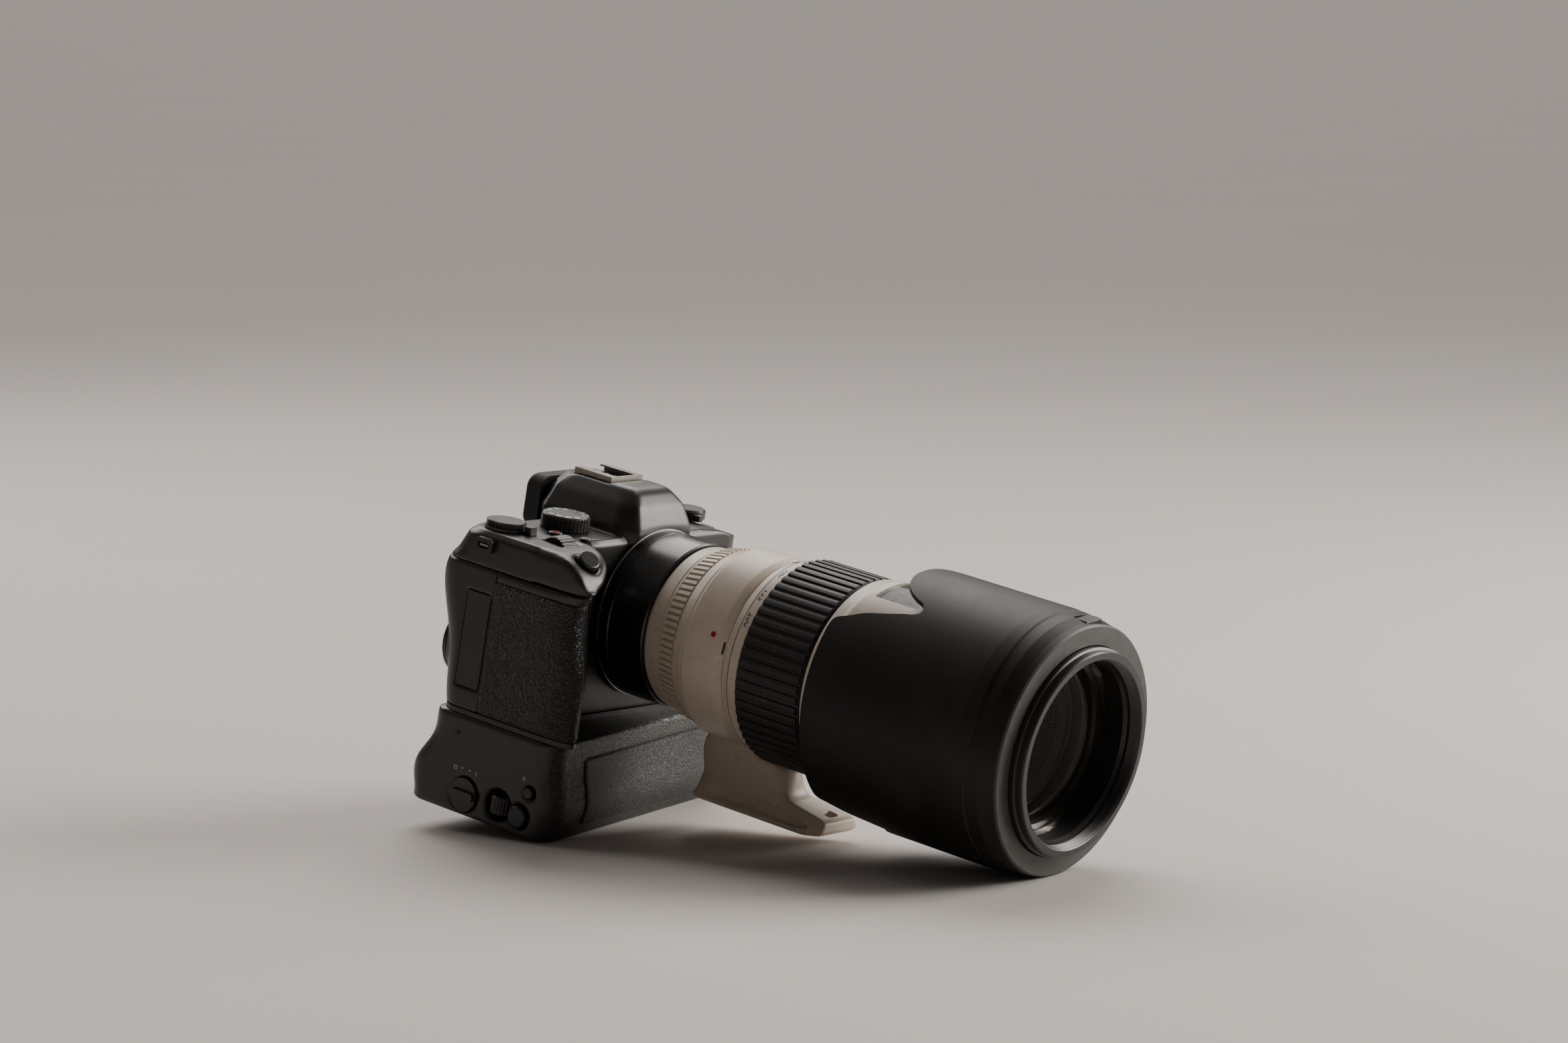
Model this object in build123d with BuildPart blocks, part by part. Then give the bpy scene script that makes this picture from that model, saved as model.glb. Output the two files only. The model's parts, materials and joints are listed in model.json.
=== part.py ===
"""A mirrorless camera with a vertical battery grip, a mount adapter and a white telephoto zoom.

Every piece is drawn square to the lens: the lens axis is the line x = 0, z = 0, the body's
mount face is the plane y = 0, the lens points along -Y and the hand grip is on the -X side.
The whole camera is then laid down as it stands on a table, nose down, with the hood's rim
and the front edge of the battery grip touching it, so +Z is up and z = 0 is the table.
"""
from build123d import *
import os

os.makedirs("parts", exist_ok=True)

# how the camera lies on the table: nose down, leaning a little, moved to its own footprint
nose_down = 9.498
lean = 1.4356
rest_shift = (9.945, 79.695, 86.641)
rest = Location(rest_shift) * Location((0, 0, 0), (0, lean, 0)) * Location((0, 0, 0), (nose_down, 0, 0))

# camera body
grip_end_x = -78.4
plain_end_x = 60.0
body_bottom = -44.5
base_thick = 2.0
seam_z = 18.0
lip_z = 22.8
wing_top = 33.0
front_y = 2.5
rear_y = 41.0
shell_seam_y = 22.0
rubber_thick = 1.3

# battery grip
vgrip_bottom = -86.2
vgrip_end_x = -78.8
tripod_r = 3.175

# mount and adapter
mount_r = 34.0
throat_r = 27.0
adapter_r = 35.6
adapter_long = 24.0

# lens, measured along -Y from the body's mount
tube_r = 37.2
tube_bore = 33.0
run_gap = 0.3
collar_r = 40.3
collar_back = -48.6
collar_front = -69.5
zoom_r = 41.4
zoom_rubber_r = 42.4
barrel_r = 44.4
lens_front = -222.5
filter_r = 38.5

# hood, turned round for storing
hood_r = 54.1
hood_wall = 1.7
hood_rim = -216.7
hood_back = -121.5
hood_twist = 6.0


def turned(*points):
    """Profile of (y, radius) points, to be spun about the lens axis."""
    with BuildSketch(Plane.YZ) as profile:
        with BuildLine():
            Polyline(*points, close=True)
        make_face()
    return profile.sketch


def body_outline(z, tip, valley, back, inset=0.0):
    """Plan of the camera body at height z: tip and back are the grip's front and rear."""
    end = grip_end_x + inset
    nose = tip + inset
    rear = back - inset
    front = front_y + inset
    with BuildSketch(Plane.XY.offset(z)) as plan:
        with BuildLine():
            Spline(
                (-36 + inset, front),
                (-46.5 + inset, valley + inset),
                (-56.0 + inset, 0.74 * nose + 0.26 * valley),
                (-65.0, nose),
                (end, nose + 12.5),
                tangents=[(-1, 0), (0, 1)],
            )
            Line((end, nose + 12.5), (end, rear - 12))
            Spline((end, rear - 12), (-70, rear - 0.6), (-43, rear_y - inset), tangents=[(0, 1), (1, 0)])
            Line((-43, rear_y - inset), (50, rear_y - inset))
            RadiusArc((50, rear_y - inset), (plain_end_x - inset, 31), 10)
            Line((plain_end_x - inset, 31), (plain_end_x - inset, 15))
            RadiusArc((plain_end_x - inset, 15), (48, front), 12)
            Line((48, front), (-36 + inset, front))
        make_face()
    return plan.sketch


def vgrip_outline(z, front, back, inset=0.0):
    """Plan of the battery grip at height z."""
    with BuildSketch(Plane.XY.offset(z)) as plan:
        with BuildLine():
            FilletPolyline(
                (plain_end_x - 0.3 - inset, front + 20.7 + inset),
                (vgrip_end_x + inset, front + inset),
                (vgrip_end_x + inset, back - inset),
                (-46, back - inset),
                (-16, rear_y - inset),
                (plain_end_x - 0.3 - inset, rear_y - inset),
                radius=8.5,
                close=True,
            )
        make_face()
    return plan.sketch


def disc(plane, radius):
    with BuildSketch(plane) as face:
        Circle(radius)
    return face.sketch


def plate(plane, wide, deep, corner):
    with BuildSketch(plane) as face:
        RectangleRounded(wide, deep, corner)
    return face.sketch


def slab(x0, x1, y0, y1, z0, z1):
    """Box between two corners, kept outside the piece until it is cut or added."""
    middle = Pos((x0 + x1) / 2, (y0 + y1) / 2, (z0 + z1) / 2)
    return middle * Box(x1 - x0, y1 - y0, z1 - z0, mode=Mode.PRIVATE)


# planes on which the controls sit: each faces outwards, and its origin is the control's seat
slope = Vector(-0.15, -0.58, 0.80).normalized()
shutter_seat = Plane((-66.5, -14.4, 30.2), x_dir=(1, 0, 0), z_dir=slope)
mfn_seat = Plane((-45.8, 4.6, wing_top))
record_seat = Plane((-50.4, 17.0, wing_top))
mode_seat = Plane((-37.0, 23.6, wing_top))
rear_dial_seat = Plane((-66.5, 30.5, wing_top))
movie_seat = Plane((43.5, 22.0, wing_top - 1.2))
main_dial_axis = Plane((-59.5, 6.4, wing_top - 4.6), x_dir=(0, 1, 0), z_dir=(1, 0, 0))


def rear_seat(x, y, z):
    return Plane((x, y, z), x_dir=(-1, 0, 0), z_dir=(0, 1, 0))


quick_dial_seat = rear_seat(-59.8, 46.6, -19.0)
joystick_seat = rear_seat(-56.0, 50.2, 5.0)
play_seat = rear_seat(-50.0, 42.4, -38.0)
menu_seat = rear_seat(50.0, rear_y, 24.5)
info_seat = rear_seat(37.5, rear_y, 24.5)
af_on_seat = rear_seat(-47.0, 43.0, 22.5)
ae_lock_seat = rear_seat(-59.5, 48.6, 22.5)
release_seat = Plane((45.5, front_y, -20.0), x_dir=(1, 0, 0), z_dir=(0, -1, 0))


def side_seat(y, z):
    """On the battery grip's end, facing away from the grip side."""
    return Plane((vgrip_end_x, y, z), x_dir=(0, -1, 0), z_dir=(-1, 0, 0))


vgrip_power_seat = side_seat(22.3, -77.2)
vgrip_mfn_seat = side_seat(-13.6 + 1.6, -67.0)
vgrip_shutter_seat = side_seat(-8.0, -78.0)

bodies = ((body_bottom + base_thick, -21.0, 4.6, 44.6), (-24, -20.3, 4.6, 47.0), (-6, -17.7, 5.0, 51.0),
          (9, -15.2, 5.4, 55.0), (seam_z, -18.8, 4.6, 53.5))

with BuildPart() as outer_body:
    loft([body_outline(*row) for row in bodies])
with BuildPart() as inner_body:
    loft([body_outline(*row, inset=rubber_thick) for row in bodies])

rubber_zone = slab(-90, -38.5, -40, shell_seam_y - 0.3, body_bottom + 3, 13.5)
cavity = slab(-32, 54, 6.5, 38.0, body_bottom + base_thick + 1, seam_z)
stem_room = slab(-73.0, -46.0, -7.5, 32.0, body_bottom + base_thick, 14)

def pocket(plane, radius, deep):
    """Round hole going down into the piece from a seat."""
    extrude(disc(plane, radius), amount=-deep, mode=Mode.SUBTRACT)


def push_button(seat, radius, proud, depth, dome=0.5):
    """Round cap standing proud of its seat, with its lower end inside the cover."""
    with BuildPart() as cap:
        extrude(disc(seat, radius), amount=proud)
        extrude(disc(seat, radius), amount=-depth)
        fillet(cap.edges().filter_by(GeomType.CIRCLE).sort_by_distance(seat.offset(proud).origin)[0], dome)
    return cap.part


# front cover, with the hand grip's core
with BuildPart() as front_shell:
    add(outer_body.part)
    split(bisect_by=Plane.XZ.offset(-shell_seam_y), keep=Keep.TOP)
    add(rubber_zone, mode=Mode.SUBTRACT)
    add(inner_body.part & rubber_zone)
    add(cavity, mode=Mode.SUBTRACT)
    add(stem_room, mode=Mode.SUBTRACT)
    extrude(disc(Plane.XZ, mount_r), amount=-12, mode=Mode.SUBTRACT)
    pocket(release_seat.offset(2), 6.4, 5.4)
front_shell.part.label = "front_shell"
export_step(front_shell.part.moved(rest), "parts/front_shell.step")

with BuildPart() as grip_rubber:
    add(outer_body.part & rubber_zone)
    add(inner_body.part, mode=Mode.SUBTRACT)
grip_rubber.part.label = "grip_rubber"
export_step(grip_rubber.part.moved(rest), "parts/grip_rubber.step")

# rear cover: the panel's shallow bay runs out to the plain end, where its hinge is
card_bay = slab(-79, grip_end_x + 1.9, 23.2, 36.2, -33.3, 7.3)
jack_bay = slab(plain_end_x - 1.9, 61, 23.2, 30.8, -34.3, 12.3)
screen_bay = slab(-41.0, 62, 39.4, 46, -36.5, 17.6)
with BuildPart() as rear_shell:
    add(outer_body.part)
    split(bisect_by=Plane.XZ.offset(-shell_seam_y), keep=Keep.BOTTOM)
    for seat, radius, deep in ((quick_dial_seat, 15.2, 9), (joystick_seat, 6.5, 9), (play_seat, 4.2, 5)):
        extrude(disc(seat, radius), amount=-deep)
        extrude(disc(seat, radius + 0.4), amount=12, mode=Mode.SUBTRACT)
    add(cavity, mode=Mode.SUBTRACT)
    add(stem_room, mode=Mode.SUBTRACT)
    for bay in (card_bay, jack_bay, screen_bay):
        add(bay, mode=Mode.SUBTRACT)
    pocket(quick_dial_seat, 7.0, 3.5)
    pocket(joystick_seat, 3.4, 4.0)
    pocket(play_seat, 3.1, 2.6)
rear_shell.part.label = "rear_shell"
export_step(rear_shell.part.moved(rest), "parts/rear_shell.step")

with BuildPart() as base_plate:
    extrude(body_outline(body_bottom, -21.0, 4.6, 44.6), amount=base_thick)
    add(slab(-73.0, -46.0, -7.5, 32.0, body_bottom - 1, body_bottom + 3), mode=Mode.SUBTRACT)
base_plate.part.label = "base_plate"
export_step(base_plate.part.moved(rest), "parts/base_plate.step")


def hump_outline(z, half, side, nose, tail):
    """Plan of the viewfinder housing: a flat nose, two facets and straight sides."""
    with BuildSketch(Plane.XY.offset(z)) as plan:
        with BuildLine():
            Polyline((-half, nose), (-side, nose + 8), (-side, tail - 6), (-side + 6, tail), (side - 6, tail),
                     (side, tail - 6), (side, nose + 8), (half, nose), close=True)
        make_face()
    return plan.sketch


# top cover: the grip's sloping nose, the plain shoulder and the viewfinder housing
with BuildPart() as top_cover:
    loft([body_outline(seam_z, -18.8, 4.6, 53.5), body_outline(lip_z, -23.2, 3.6, 49.5)], ruled=True)
    loft([body_outline(lip_z, -23.2, 3.6, 49.5), body_outline(30.6, -23.2, 3.6, 45.5)], ruled=True)
    loft([body_outline(30.6, -23.2, 3.6, 45.5), body_outline(wing_top, -21.2, 3.6, 43.8, inset=2.0)],
         ruled=True)
    with BuildSketch(Plane.YZ.offset(-85)) as above_slope:
        with BuildLine():
            Spline((0, wing_top), (-9.0, wing_top - 0.5), (-14.5, wing_top - 2.2), (-19.0, wing_top - 5.2),
                   (-22.2, wing_top - 8.6), (-24.0, wing_top - 12.5), tangents=[(-1, 0), (-0.3, -1)])
            Polyline((-24.0, wing_top - 12.5), (-34, wing_top - 12.5), (-34, 40), (0, 40), (0, wing_top))
        make_face()
    extrude(above_slope.sketch, amount=52, mode=Mode.SUBTRACT)
    with BuildSketch(Plane.XZ.offset(-60)) as above_shoulder:
        with BuildLine():
            Polyline((30, wing_top), (42, wing_top - 1.2), (57, wing_top - 5.2), (64, wing_top - 12), (64, 40),
                     (30, 40), close=True)
        make_face()
    extrude(above_shoulder.sketch, amount=80, mode=Mode.SUBTRACT)
    loft([hump_outline(seam_z + 4, 17.5, 25.0, 0.6, 50), hump_outline(36, 17.2, 23.0, -0.6, 54),
          hump_outline(45.0, 15.6, 17.6, 3.4, 53)], ruled=True)
    loft([hump_outline(45.0, 15.6, 17.6, 3.4, 53), hump_outline(49.6, 12.2, 13.2, 7.6, 50.5),
          hump_outline(51.4, 10.9, 11.6, 11.0, 46.5)], ruled=True)
    add(slab(-11.2, 11.2, 23.0, 60, 49.6, 60), mode=Mode.SUBTRACT)
    add(slab(-15.4, 15.4, 48.2, 60, 24.3, 44.7), mode=Mode.SUBTRACT)
    extrude(disc(Plane.XZ.offset(10), 36.3), amount=-10, mode=Mode.SUBTRACT)
    add(slab(-32, 52, 7.5, 38.0, seam_z, 30.0), mode=Mode.SUBTRACT)
    add(slab(-14, 14, 9, 45.0, 29.0, 47.0), mode=Mode.SUBTRACT)
    extrude(disc(Plane.XZ, mount_r), amount=-7.5, mode=Mode.SUBTRACT)
    extrude(disc(shutter_seat, 6.1), amount=9, mode=Mode.SUBTRACT)
    pocket(shutter_seat, 5.2, 5)
    pocket(mfn_seat, 2.9, 3)
    pocket(record_seat, 3.3, 3)
    pocket(mode_seat, 3.8, 3.6)
    pocket(rear_dial_seat, 3.8, 3.6)
    pocket(movie_seat.offset(2), 3.8, 3.5)
    for seat in (menu_seat, info_seat, af_on_seat, ae_lock_seat):
        pocket(seat.offset(12), 3.9, 12)
        pocket(seat, 3.1, 2.6)
    extrude(disc(main_dial_axis, 7.7), amount=5.0, both=True, mode=Mode.SUBTRACT)
top_cover.part.label = "top_cover"
export_step(top_cover.part.moved(rest), "parts/top_cover.step")

# mount, chamber and sensor
with BuildPart() as body_mount_ring:
    revolve(turned((0, throat_r), (0, mount_r), (2.6, mount_r), (2.6, throat_r)), axis=Axis.Y)
    with Locations(Plane.XZ):
        with PolarLocations(30.5, 4, start_angle=45):
            CounterSinkHole(0.9, 1.7, depth=3, counter_sink_angle=90)
body_mount_ring.part.label = "body_mount_ring"
export_step(body_mount_ring.part.moved(rest), "parts/body_mount_ring.step")

with BuildPart() as mount_box:
    with BuildSketch(Plane.XZ.offset(-7.6)):
        RectangleRounded(52, 38, 3)
        RectangleRounded(44, 32, 2, mode=Mode.SUBTRACT)
    extrude(amount=-11)
mount_box.part.label = "mount_box"
export_step(mount_box.part.moved(rest), "parts/mount_box.step")

with BuildPart() as image_sensor:
    with BuildSketch(Plane.XZ.offset(-18.7)):
        RectangleRounded(50, 36, 2)
    extrude(amount=-3)
    with BuildSketch(Plane.XZ.offset(-18.7)):
        Rectangle(38, 26)
    extrude(amount=0.8)
image_sensor.part.label = "image_sensor"
export_step(image_sensor.part.moved(rest), "parts/image_sensor.step")

# eyepiece
with BuildPart() as eyecup:
    for y, wide, high, thick in ((48.3, 30.6, 20.2, 5.7), (54.0, 37.0, 24.0, 6.5), (60.5, 35.4, 22.4, 2.5)):
        with BuildSketch(Plane.XZ.offset(-y) * Pos(0, 34.5)):
            RectangleRounded(wide, high, 5.5)
            RectangleRounded(23, 15, 4, mode=Mode.SUBTRACT)
        extrude(amount=-thick)
    fillet(eyecup.faces().sort_by(Axis.Y)[-1].outer_wire().edges(), 1.2)
eyecup.part.label = "eyecup"
export_step(eyecup.part.moved(rest), "parts/eyecup.step")

with BuildPart() as eyepiece_glass:
    with BuildSketch(Plane.XZ.offset(-50) * Pos(0, 34.5)):
        RectangleRounded(22.8, 14.8, 3.9)
    extrude(amount=-2.5)
eyepiece_glass.part.label = "eyepiece_glass"
export_step(eyepiece_glass.part.moved(rest), "parts/eyepiece_glass.step")

# accessory shoe: 18.6 mm between the walls, 12.6 mm between the lips
with BuildPart() as hot_shoe:
    with BuildSketch(Plane.XZ.offset(-23.8)):
        with BuildLine():
            Polyline((-10.3, 49.6), (10.3, 49.6), (10.3, 52.9), (6.3, 52.9), (6.3, 52.2), (9.3, 52.2),
                     (9.3, 50.2), (-9.3, 50.2), (-9.3, 52.2), (-6.3, 52.2), (-6.3, 52.9), (-10.3, 52.9),
                     close=True)
        make_face()
    extrude(amount=-20.3)
    add(slab(-10.3, 10.3, 23.8, 25.0, 50.2, 52.9))
    with Locations((0, 34.5, 50.2)):
        with GridLocations(5.2, 4.6, 2, 2):
            Cylinder(0.9, 0.5, align=(Align.CENTER, Align.CENTER, Align.MIN))
        Cylinder(1.2, 0.5, align=(Align.CENTER, Align.CENTER, Align.MIN))
hot_shoe.part.label = "hot_shoe"
export_step(hot_shoe.part.moved(rest), "parts/hot_shoe.step")

with BuildPart() as strap_lugs:
    for x, y, z, way in ((grip_end_x, 29.5, 27.4, -1), (plain_end_x, 25.0, 24.0, 1)):
        with BuildSketch(Plane((x, y, z), x_dir=(0, 1, 0), z_dir=(way, 0, 0))):
            RectangleRounded(9.6, 6.2, 2.2)
            with Locations((0, 0)):
                RectangleRounded(6.0, 2.4, 1.0, mode=Mode.SUBTRACT)
        extrude(amount=2.2)
strap_lugs.part.label = "strap_lugs"
export_step(strap_lugs.part.moved(rest), "parts/strap_lugs.step")

# doors, each on its own hinge edge, 0.3 mm clear of its bay all round
with BuildPart() as card_door:
    add(slab(grip_end_x, grip_end_x + 1.5, 23.5, 35.9, -33, 7))
    chamfer(card_door.edges().filter_by(Axis.Z).group_by(Axis.X)[0], 0.5)
card_door.part.label = "card_door"
export_step(card_door.part.moved(rest), "parts/card_door.step")

with BuildPart() as terminal_cover:
    add(slab(plain_end_x - 1.5, plain_end_x, 23.5, 30.5, -34, 12))
    chamfer(terminal_cover.edges().filter_by(Axis.Z).group_by(Axis.X)[-1], 0.4)
terminal_cover.part.label = "terminal_cover"
export_step(terminal_cover.part.moved(rest), "parts/terminal_cover.step")

# rear screen on its hinge barrel
hinge_x, hinge_y = 44.0, 42.4
with BuildPart() as screen_panel:
    add(slab(-40.0, 41.0, 39.9, 45.0, -35.8, 16.9))
    fillet(screen_panel.edges().filter_by(Axis.Y), 2.5)
    chamfer(screen_panel.faces().sort_by(Axis.Y)[-1].outer_wire().edges(), 0.6)
    add(slab(-36.0, 37.0, 44.2, 46, -32.0, 12.0), mode=Mode.SUBTRACT)
    with Locations((hinge_x, hinge_y, -9.5)):
        Cylinder(2.4, 40)
    add(slab(40.5, hinge_x, 41.2, 43.6, -24, 5))
screen_panel.part.label = "screen_panel"
export_step(screen_panel.part.moved(rest), "parts/screen_panel.step")

with BuildPart() as screen_glass:
    add(slab(-36.0, 37.0, 44.2, 45.0, -32.0, 12.0))
screen_glass.part.label = "screen_glass"
export_step(screen_glass.part.moved(rest), "parts/screen_glass.step")

# push buttons: seat, radius, how far it stands out, how deep it sits, edge rounding
buttons = {
    "shutter_button": (shutter_seat, 4.8, 2.4, 3.4, 1.0),
    "mfn_button": (mfn_seat, 2.5, 1.2, 2.0, 0.6),
    "record_button": (record_seat, 2.9, 1.2, 2.0, 0.6),
    "menu_button": (menu_seat, 2.7, 1.4, 1.6, 0.5),
    "info_button": (info_seat, 2.7, 1.4, 1.6, 0.5),
    "af_on_button": (af_on_seat, 2.7, 2.2, 1.6, 0.5),
    "ae_lock_button": (ae_lock_seat, 2.7, 2.4, 1.6, 0.5),
    "play_button": (play_seat, 2.7, 1.4, 1.6, 0.5),
    "set_button": (quick_dial_seat, 4.6, 1.4, 2.2, 0.5),
    "lens_release_button": (release_seat, 6.0, 1.8, 2.6, 0.8),
    "vgrip_shutter_button": (vgrip_shutter_seat, 4.6, 1.4, 3.2, 0.8),
    "vgrip_mfn_button": (vgrip_mfn_seat, 2.3, 1.0, 2.0, 0.5),
}
for name, row in buttons.items():
    with BuildPart() as button:
        add(push_button(*row))
    button.part.label = name
    export_step(button.part.moved(rest), f"parts/{name}.step")

with BuildPart() as joystick:
    extrude(disc(joystick_seat, 2.2), amount=2.6)
    extrude(disc(joystick_seat, 2.2), amount=-2.4)
    extrude(disc(joystick_seat.offset(2.0), 3.9), amount=1.6)
    chamfer(joystick.faces().sort_by(Axis.Y)[-1].edges(), 0.5)
joystick.part.label = "joystick"
export_step(joystick.part.moved(rest), "parts/joystick.step")


def dial(seat, radius, low, high, shaft_deep, shaft_r=3.5, notches=0, edge=0.6):
    """Turning knob from low to high above its seat, on a shaft that goes down into the cover."""
    with BuildPart() as knob:
        extrude(disc(seat.offset(low), radius), amount=high - low)
        chamfer(knob.edges().filter_by(GeomType.CIRCLE).sort_by_distance(seat.offset(high).origin)[0], edge)
        if notches:
            with Locations(seat.offset(high)):
                with PolarLocations(radius + 0.25, notches):
                    Cylinder(0.55, 4 * (high - low), mode=Mode.SUBTRACT)
        extrude(disc(seat.offset(low), shaft_r), amount=-(low + shaft_deep))
    return knob.part


with BuildPart() as mode_dial:
    add(dial(mode_seat, 10.1, 0.4, 6.4, 3.2, notches=36))
mode_dial.part.label = "mode_dial"
export_step(mode_dial.part.moved(rest), "parts/mode_dial.step")

with BuildPart() as rear_top_dial:
    add(dial(rear_dial_seat, 8.0, 1.7, 3.9, 3.2, notches=28, edge=0.4))
rear_top_dial.part.label = "rear_top_dial"
export_step(rear_top_dial.part.moved(rest), "parts/rear_top_dial.step")

with BuildPart() as power_lever:
    with BuildSketch(rear_dial_seat.offset(0.3)):
        Circle(8.8)
        with Locations((2.6, -10.0)):
            RectangleRounded(5.4, 6.0, 1.2)
        Circle(3.9, mode=Mode.SUBTRACT)
    extrude(amount=1.1)
    with BuildSketch(rear_dial_seat.offset(0.3)):
        with Locations((2.6, -11.2)):
            RectangleRounded(5.2, 3.2, 1.0)
    extrude(amount=3.2)
power_lever.part.label = "power_lever"
export_step(power_lever.part.moved(rest), "parts/power_lever.step")

with BuildPart() as photo_movie_lever:
    add(dial(movie_seat, 7.2, 1.2, 5.2, 1.2, edge=0.8))
    with BuildSketch(movie_seat.offset(1.2)):
        with Locations((-3.5, -7.2)):
            RectangleRounded(3.2, 5.0, 0.8)
    extrude(amount=2.6)
photo_movie_lever.part.label = "photo_movie_lever"
export_step(photo_movie_lever.part.moved(rest), "parts/photo_movie_lever.step")


def wheel(axis, radius, wide, notches):
    """Finger wheel half sunk in the body."""
    with BuildPart() as drum:
        extrude(disc(axis, radius), amount=wide / 2, both=True)
        chamfer(drum.edges().filter_by(GeomType.CIRCLE), 0.5)
        with Locations(axis):
            with PolarLocations(radius + 0.2, notches):
                Cylinder(0.6, 2 * wide, mode=Mode.SUBTRACT)
    return drum.part


with BuildPart() as main_dial:
    add(wheel(main_dial_axis, 7.2, 9.2, 30))
main_dial.part.label = "main_dial"
export_step(main_dial.part.moved(rest), "parts/main_dial.step")

with BuildPart() as quick_dial:
    with BuildSketch(quick_dial_seat.offset(0.3)):
        Circle(14.6)
        Circle(7.6, mode=Mode.SUBTRACT)
    extrude(amount=2.4)
    chamfer(quick_dial.faces().sort_by(Axis.Y)[-1].outer_wire().edges(), 0.8)
quick_dial.part.label = "quick_dial"
export_step(quick_dial.part.moved(rest), "parts/quick_dial.step")

# battery grip
vgrip_rows = ((vgrip_bottom + 1, -23.2, 53.6), (-77, -25.8, 54.6), (-67, -25.8, 53.2), (-58, -23.2, 47.6),
              (-51, -22.6, 46.2), (body_bottom, -22.6, 45.6))
with BuildPart() as outer_vgrip:
    loft([vgrip_outline(*row) for row in vgrip_rows])
with BuildPart() as inner_vgrip:
    loft([vgrip_outline(*row, inset=rubber_thick) for row in vgrip_rows])
vgrip_zone = slab(-54, 44, -40, 6.5, vgrip_bottom + 5.5, -53.5)
tray_room = slab(-62, plain_end_x, 7.0, 37.5, -79.7, -50.0)
power_recess = disc(vgrip_power_seat, 7.6)
wheel_axis = Plane((26, 37.6, -51.0))

with BuildPart() as vgrip_housing:
    add(outer_vgrip.part)
    loft([vgrip_outline(vgrip_bottom, -22.9, 53.3, inset=1.1), vgrip_outline(*vgrip_rows[0])], ruled=True)
    add(vgrip_zone, mode=Mode.SUBTRACT)
    add(inner_vgrip.part & vgrip_zone)
    add(tray_room, mode=Mode.SUBTRACT)
    add(slab(plain_end_x - 2.4, 62, 5.4, 39.0, -84.2, -48.6), mode=Mode.SUBTRACT)
    extrude(power_recess, amount=-1.4, mode=Mode.SUBTRACT)
    pocket(vgrip_power_seat, 3.6, 4.6)
    pocket(vgrip_shutter_seat, 5.0, 5)
    pocket(vgrip_mfn_seat, 2.7, 3.6)
    pocket(Plane((vgrip_end_x, 3.6, -76.5), x_dir=(0, -1, 0), z_dir=(-1, 0, 0)).offset(1), 6.7, 10.5)
    extrude(disc(wheel_axis, 9.3), amount=3.9, both=True, mode=Mode.SUBTRACT)
    with Locations((0, 15.0, vgrip_bottom)):
        Cylinder(tripod_r, 11.0, mode=Mode.SUBTRACT)
vgrip_housing.part.label = "vgrip_housing"
export_step(vgrip_housing.part.moved(rest), "parts/vgrip_housing.step")

with BuildPart() as vgrip_rubber:
    add(outer_vgrip.part & vgrip_zone)
    add(inner_vgrip.part, mode=Mode.SUBTRACT)
vgrip_rubber.part.label = "vgrip_rubber"
export_step(vgrip_rubber.part.moved(rest), "parts/vgrip_rubber.step")

with BuildPart() as vgrip_door:
    add(slab(plain_end_x - 2.1, plain_end_x - 0.3, 5.7, 38.7, -83.9, -48.9))
    fillet(vgrip_door.edges().filter_by(Axis.X), 1.5)
    chamfer(vgrip_door.faces().sort_by(Axis.X)[-1].outer_wire().edges(), 0.4)
vgrip_door.part.label = "vgrip_door"
export_step(vgrip_door.part.moved(rest), "parts/vgrip_door.step")

with BuildPart() as battery_packs:
    for y in (14.6, 30.0):
        add(slab(-48, 20, y - 7.0, y + 6.8, -77.2, -57))
    add(slab(-56, 54, 7.6, 36.8, -79.4, -77.2))
    add(slab(-56, -48, 7.6, 36.8, -77.2, -57))
    add(slab(20, 54, 12, 32, -77.2, -66))
battery_packs.part.label = "battery_packs"
export_step(battery_packs.part.moved(rest), "parts/battery_packs.step")

with BuildPart() as vgrip_power_lever:
    with BuildSketch(vgrip_power_seat.offset(-1.1)):
        Circle(7.0)
    extrude(amount=1.6)
    with BuildSketch(vgrip_power_seat.offset(0.5)):
        SlotOverall(13.0, 3.6)
    extrude(amount=1.7)
    with BuildSketch(vgrip_power_seat.offset(-1.1)):
        Circle(3.3)
    extrude(amount=-3.0)
vgrip_power_lever.part.label = "vgrip_power_lever"
export_step(vgrip_power_lever.part.moved(rest), "parts/vgrip_power_lever.step")

vgrip_dial_axis = Plane((vgrip_end_x + 3.6, 3.6, -76.5), x_dir=(1, 0, 0), z_dir=(0, 0, 1))
with BuildPart() as vgrip_dial:
    add(wheel(vgrip_dial_axis, 4.9, 7.4, 20))
vgrip_dial.part.label = "vgrip_dial"
export_step(vgrip_dial.part.moved(rest), "parts/vgrip_dial.step")

with BuildPart() as vgrip_clamp_wheel:
    add(wheel(wheel_axis, 8.8, 7.0, 32))
vgrip_clamp_wheel.part.label = "vgrip_clamp_wheel"
export_step(vgrip_clamp_wheel.part.moved(rest), "parts/vgrip_clamp_wheel.step")

# mount adapter
with BuildPart() as adapter_barrel:
    revolve(turned((2.6, 24.0), (2.6, throat_r), (0, throat_r), (0, 34.9), (-0.9, adapter_r), (-5.2, adapter_r),
                   (-5.6, adapter_r - 0.4), (-6.0, adapter_r), (-23.4, adapter_r), (-adapter_long, 35.0),
                   (-adapter_long, 28.0), (-10, 28.0), (-6, 24.0)), axis=Axis.Y)
    add(slab(34.2, 40, -21.8, -11.8, -5.6, 5.6), mode=Mode.SUBTRACT)
adapter_barrel.part.label = "adapter_barrel"
export_step(adapter_barrel.part.moved(rest), "parts/adapter_barrel.step")

with BuildPart() as adapter_release:
    add(slab(34.5, 36.6, -20.2, -13.4, -5.2, 3.4))
    chamfer(adapter_release.faces().sort_by(Axis.X)[-1].edges(), 0.5)
adapter_release.part.label = "adapter_release"
export_step(adapter_release.part.moved(rest), "parts/adapter_release.step")

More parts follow.
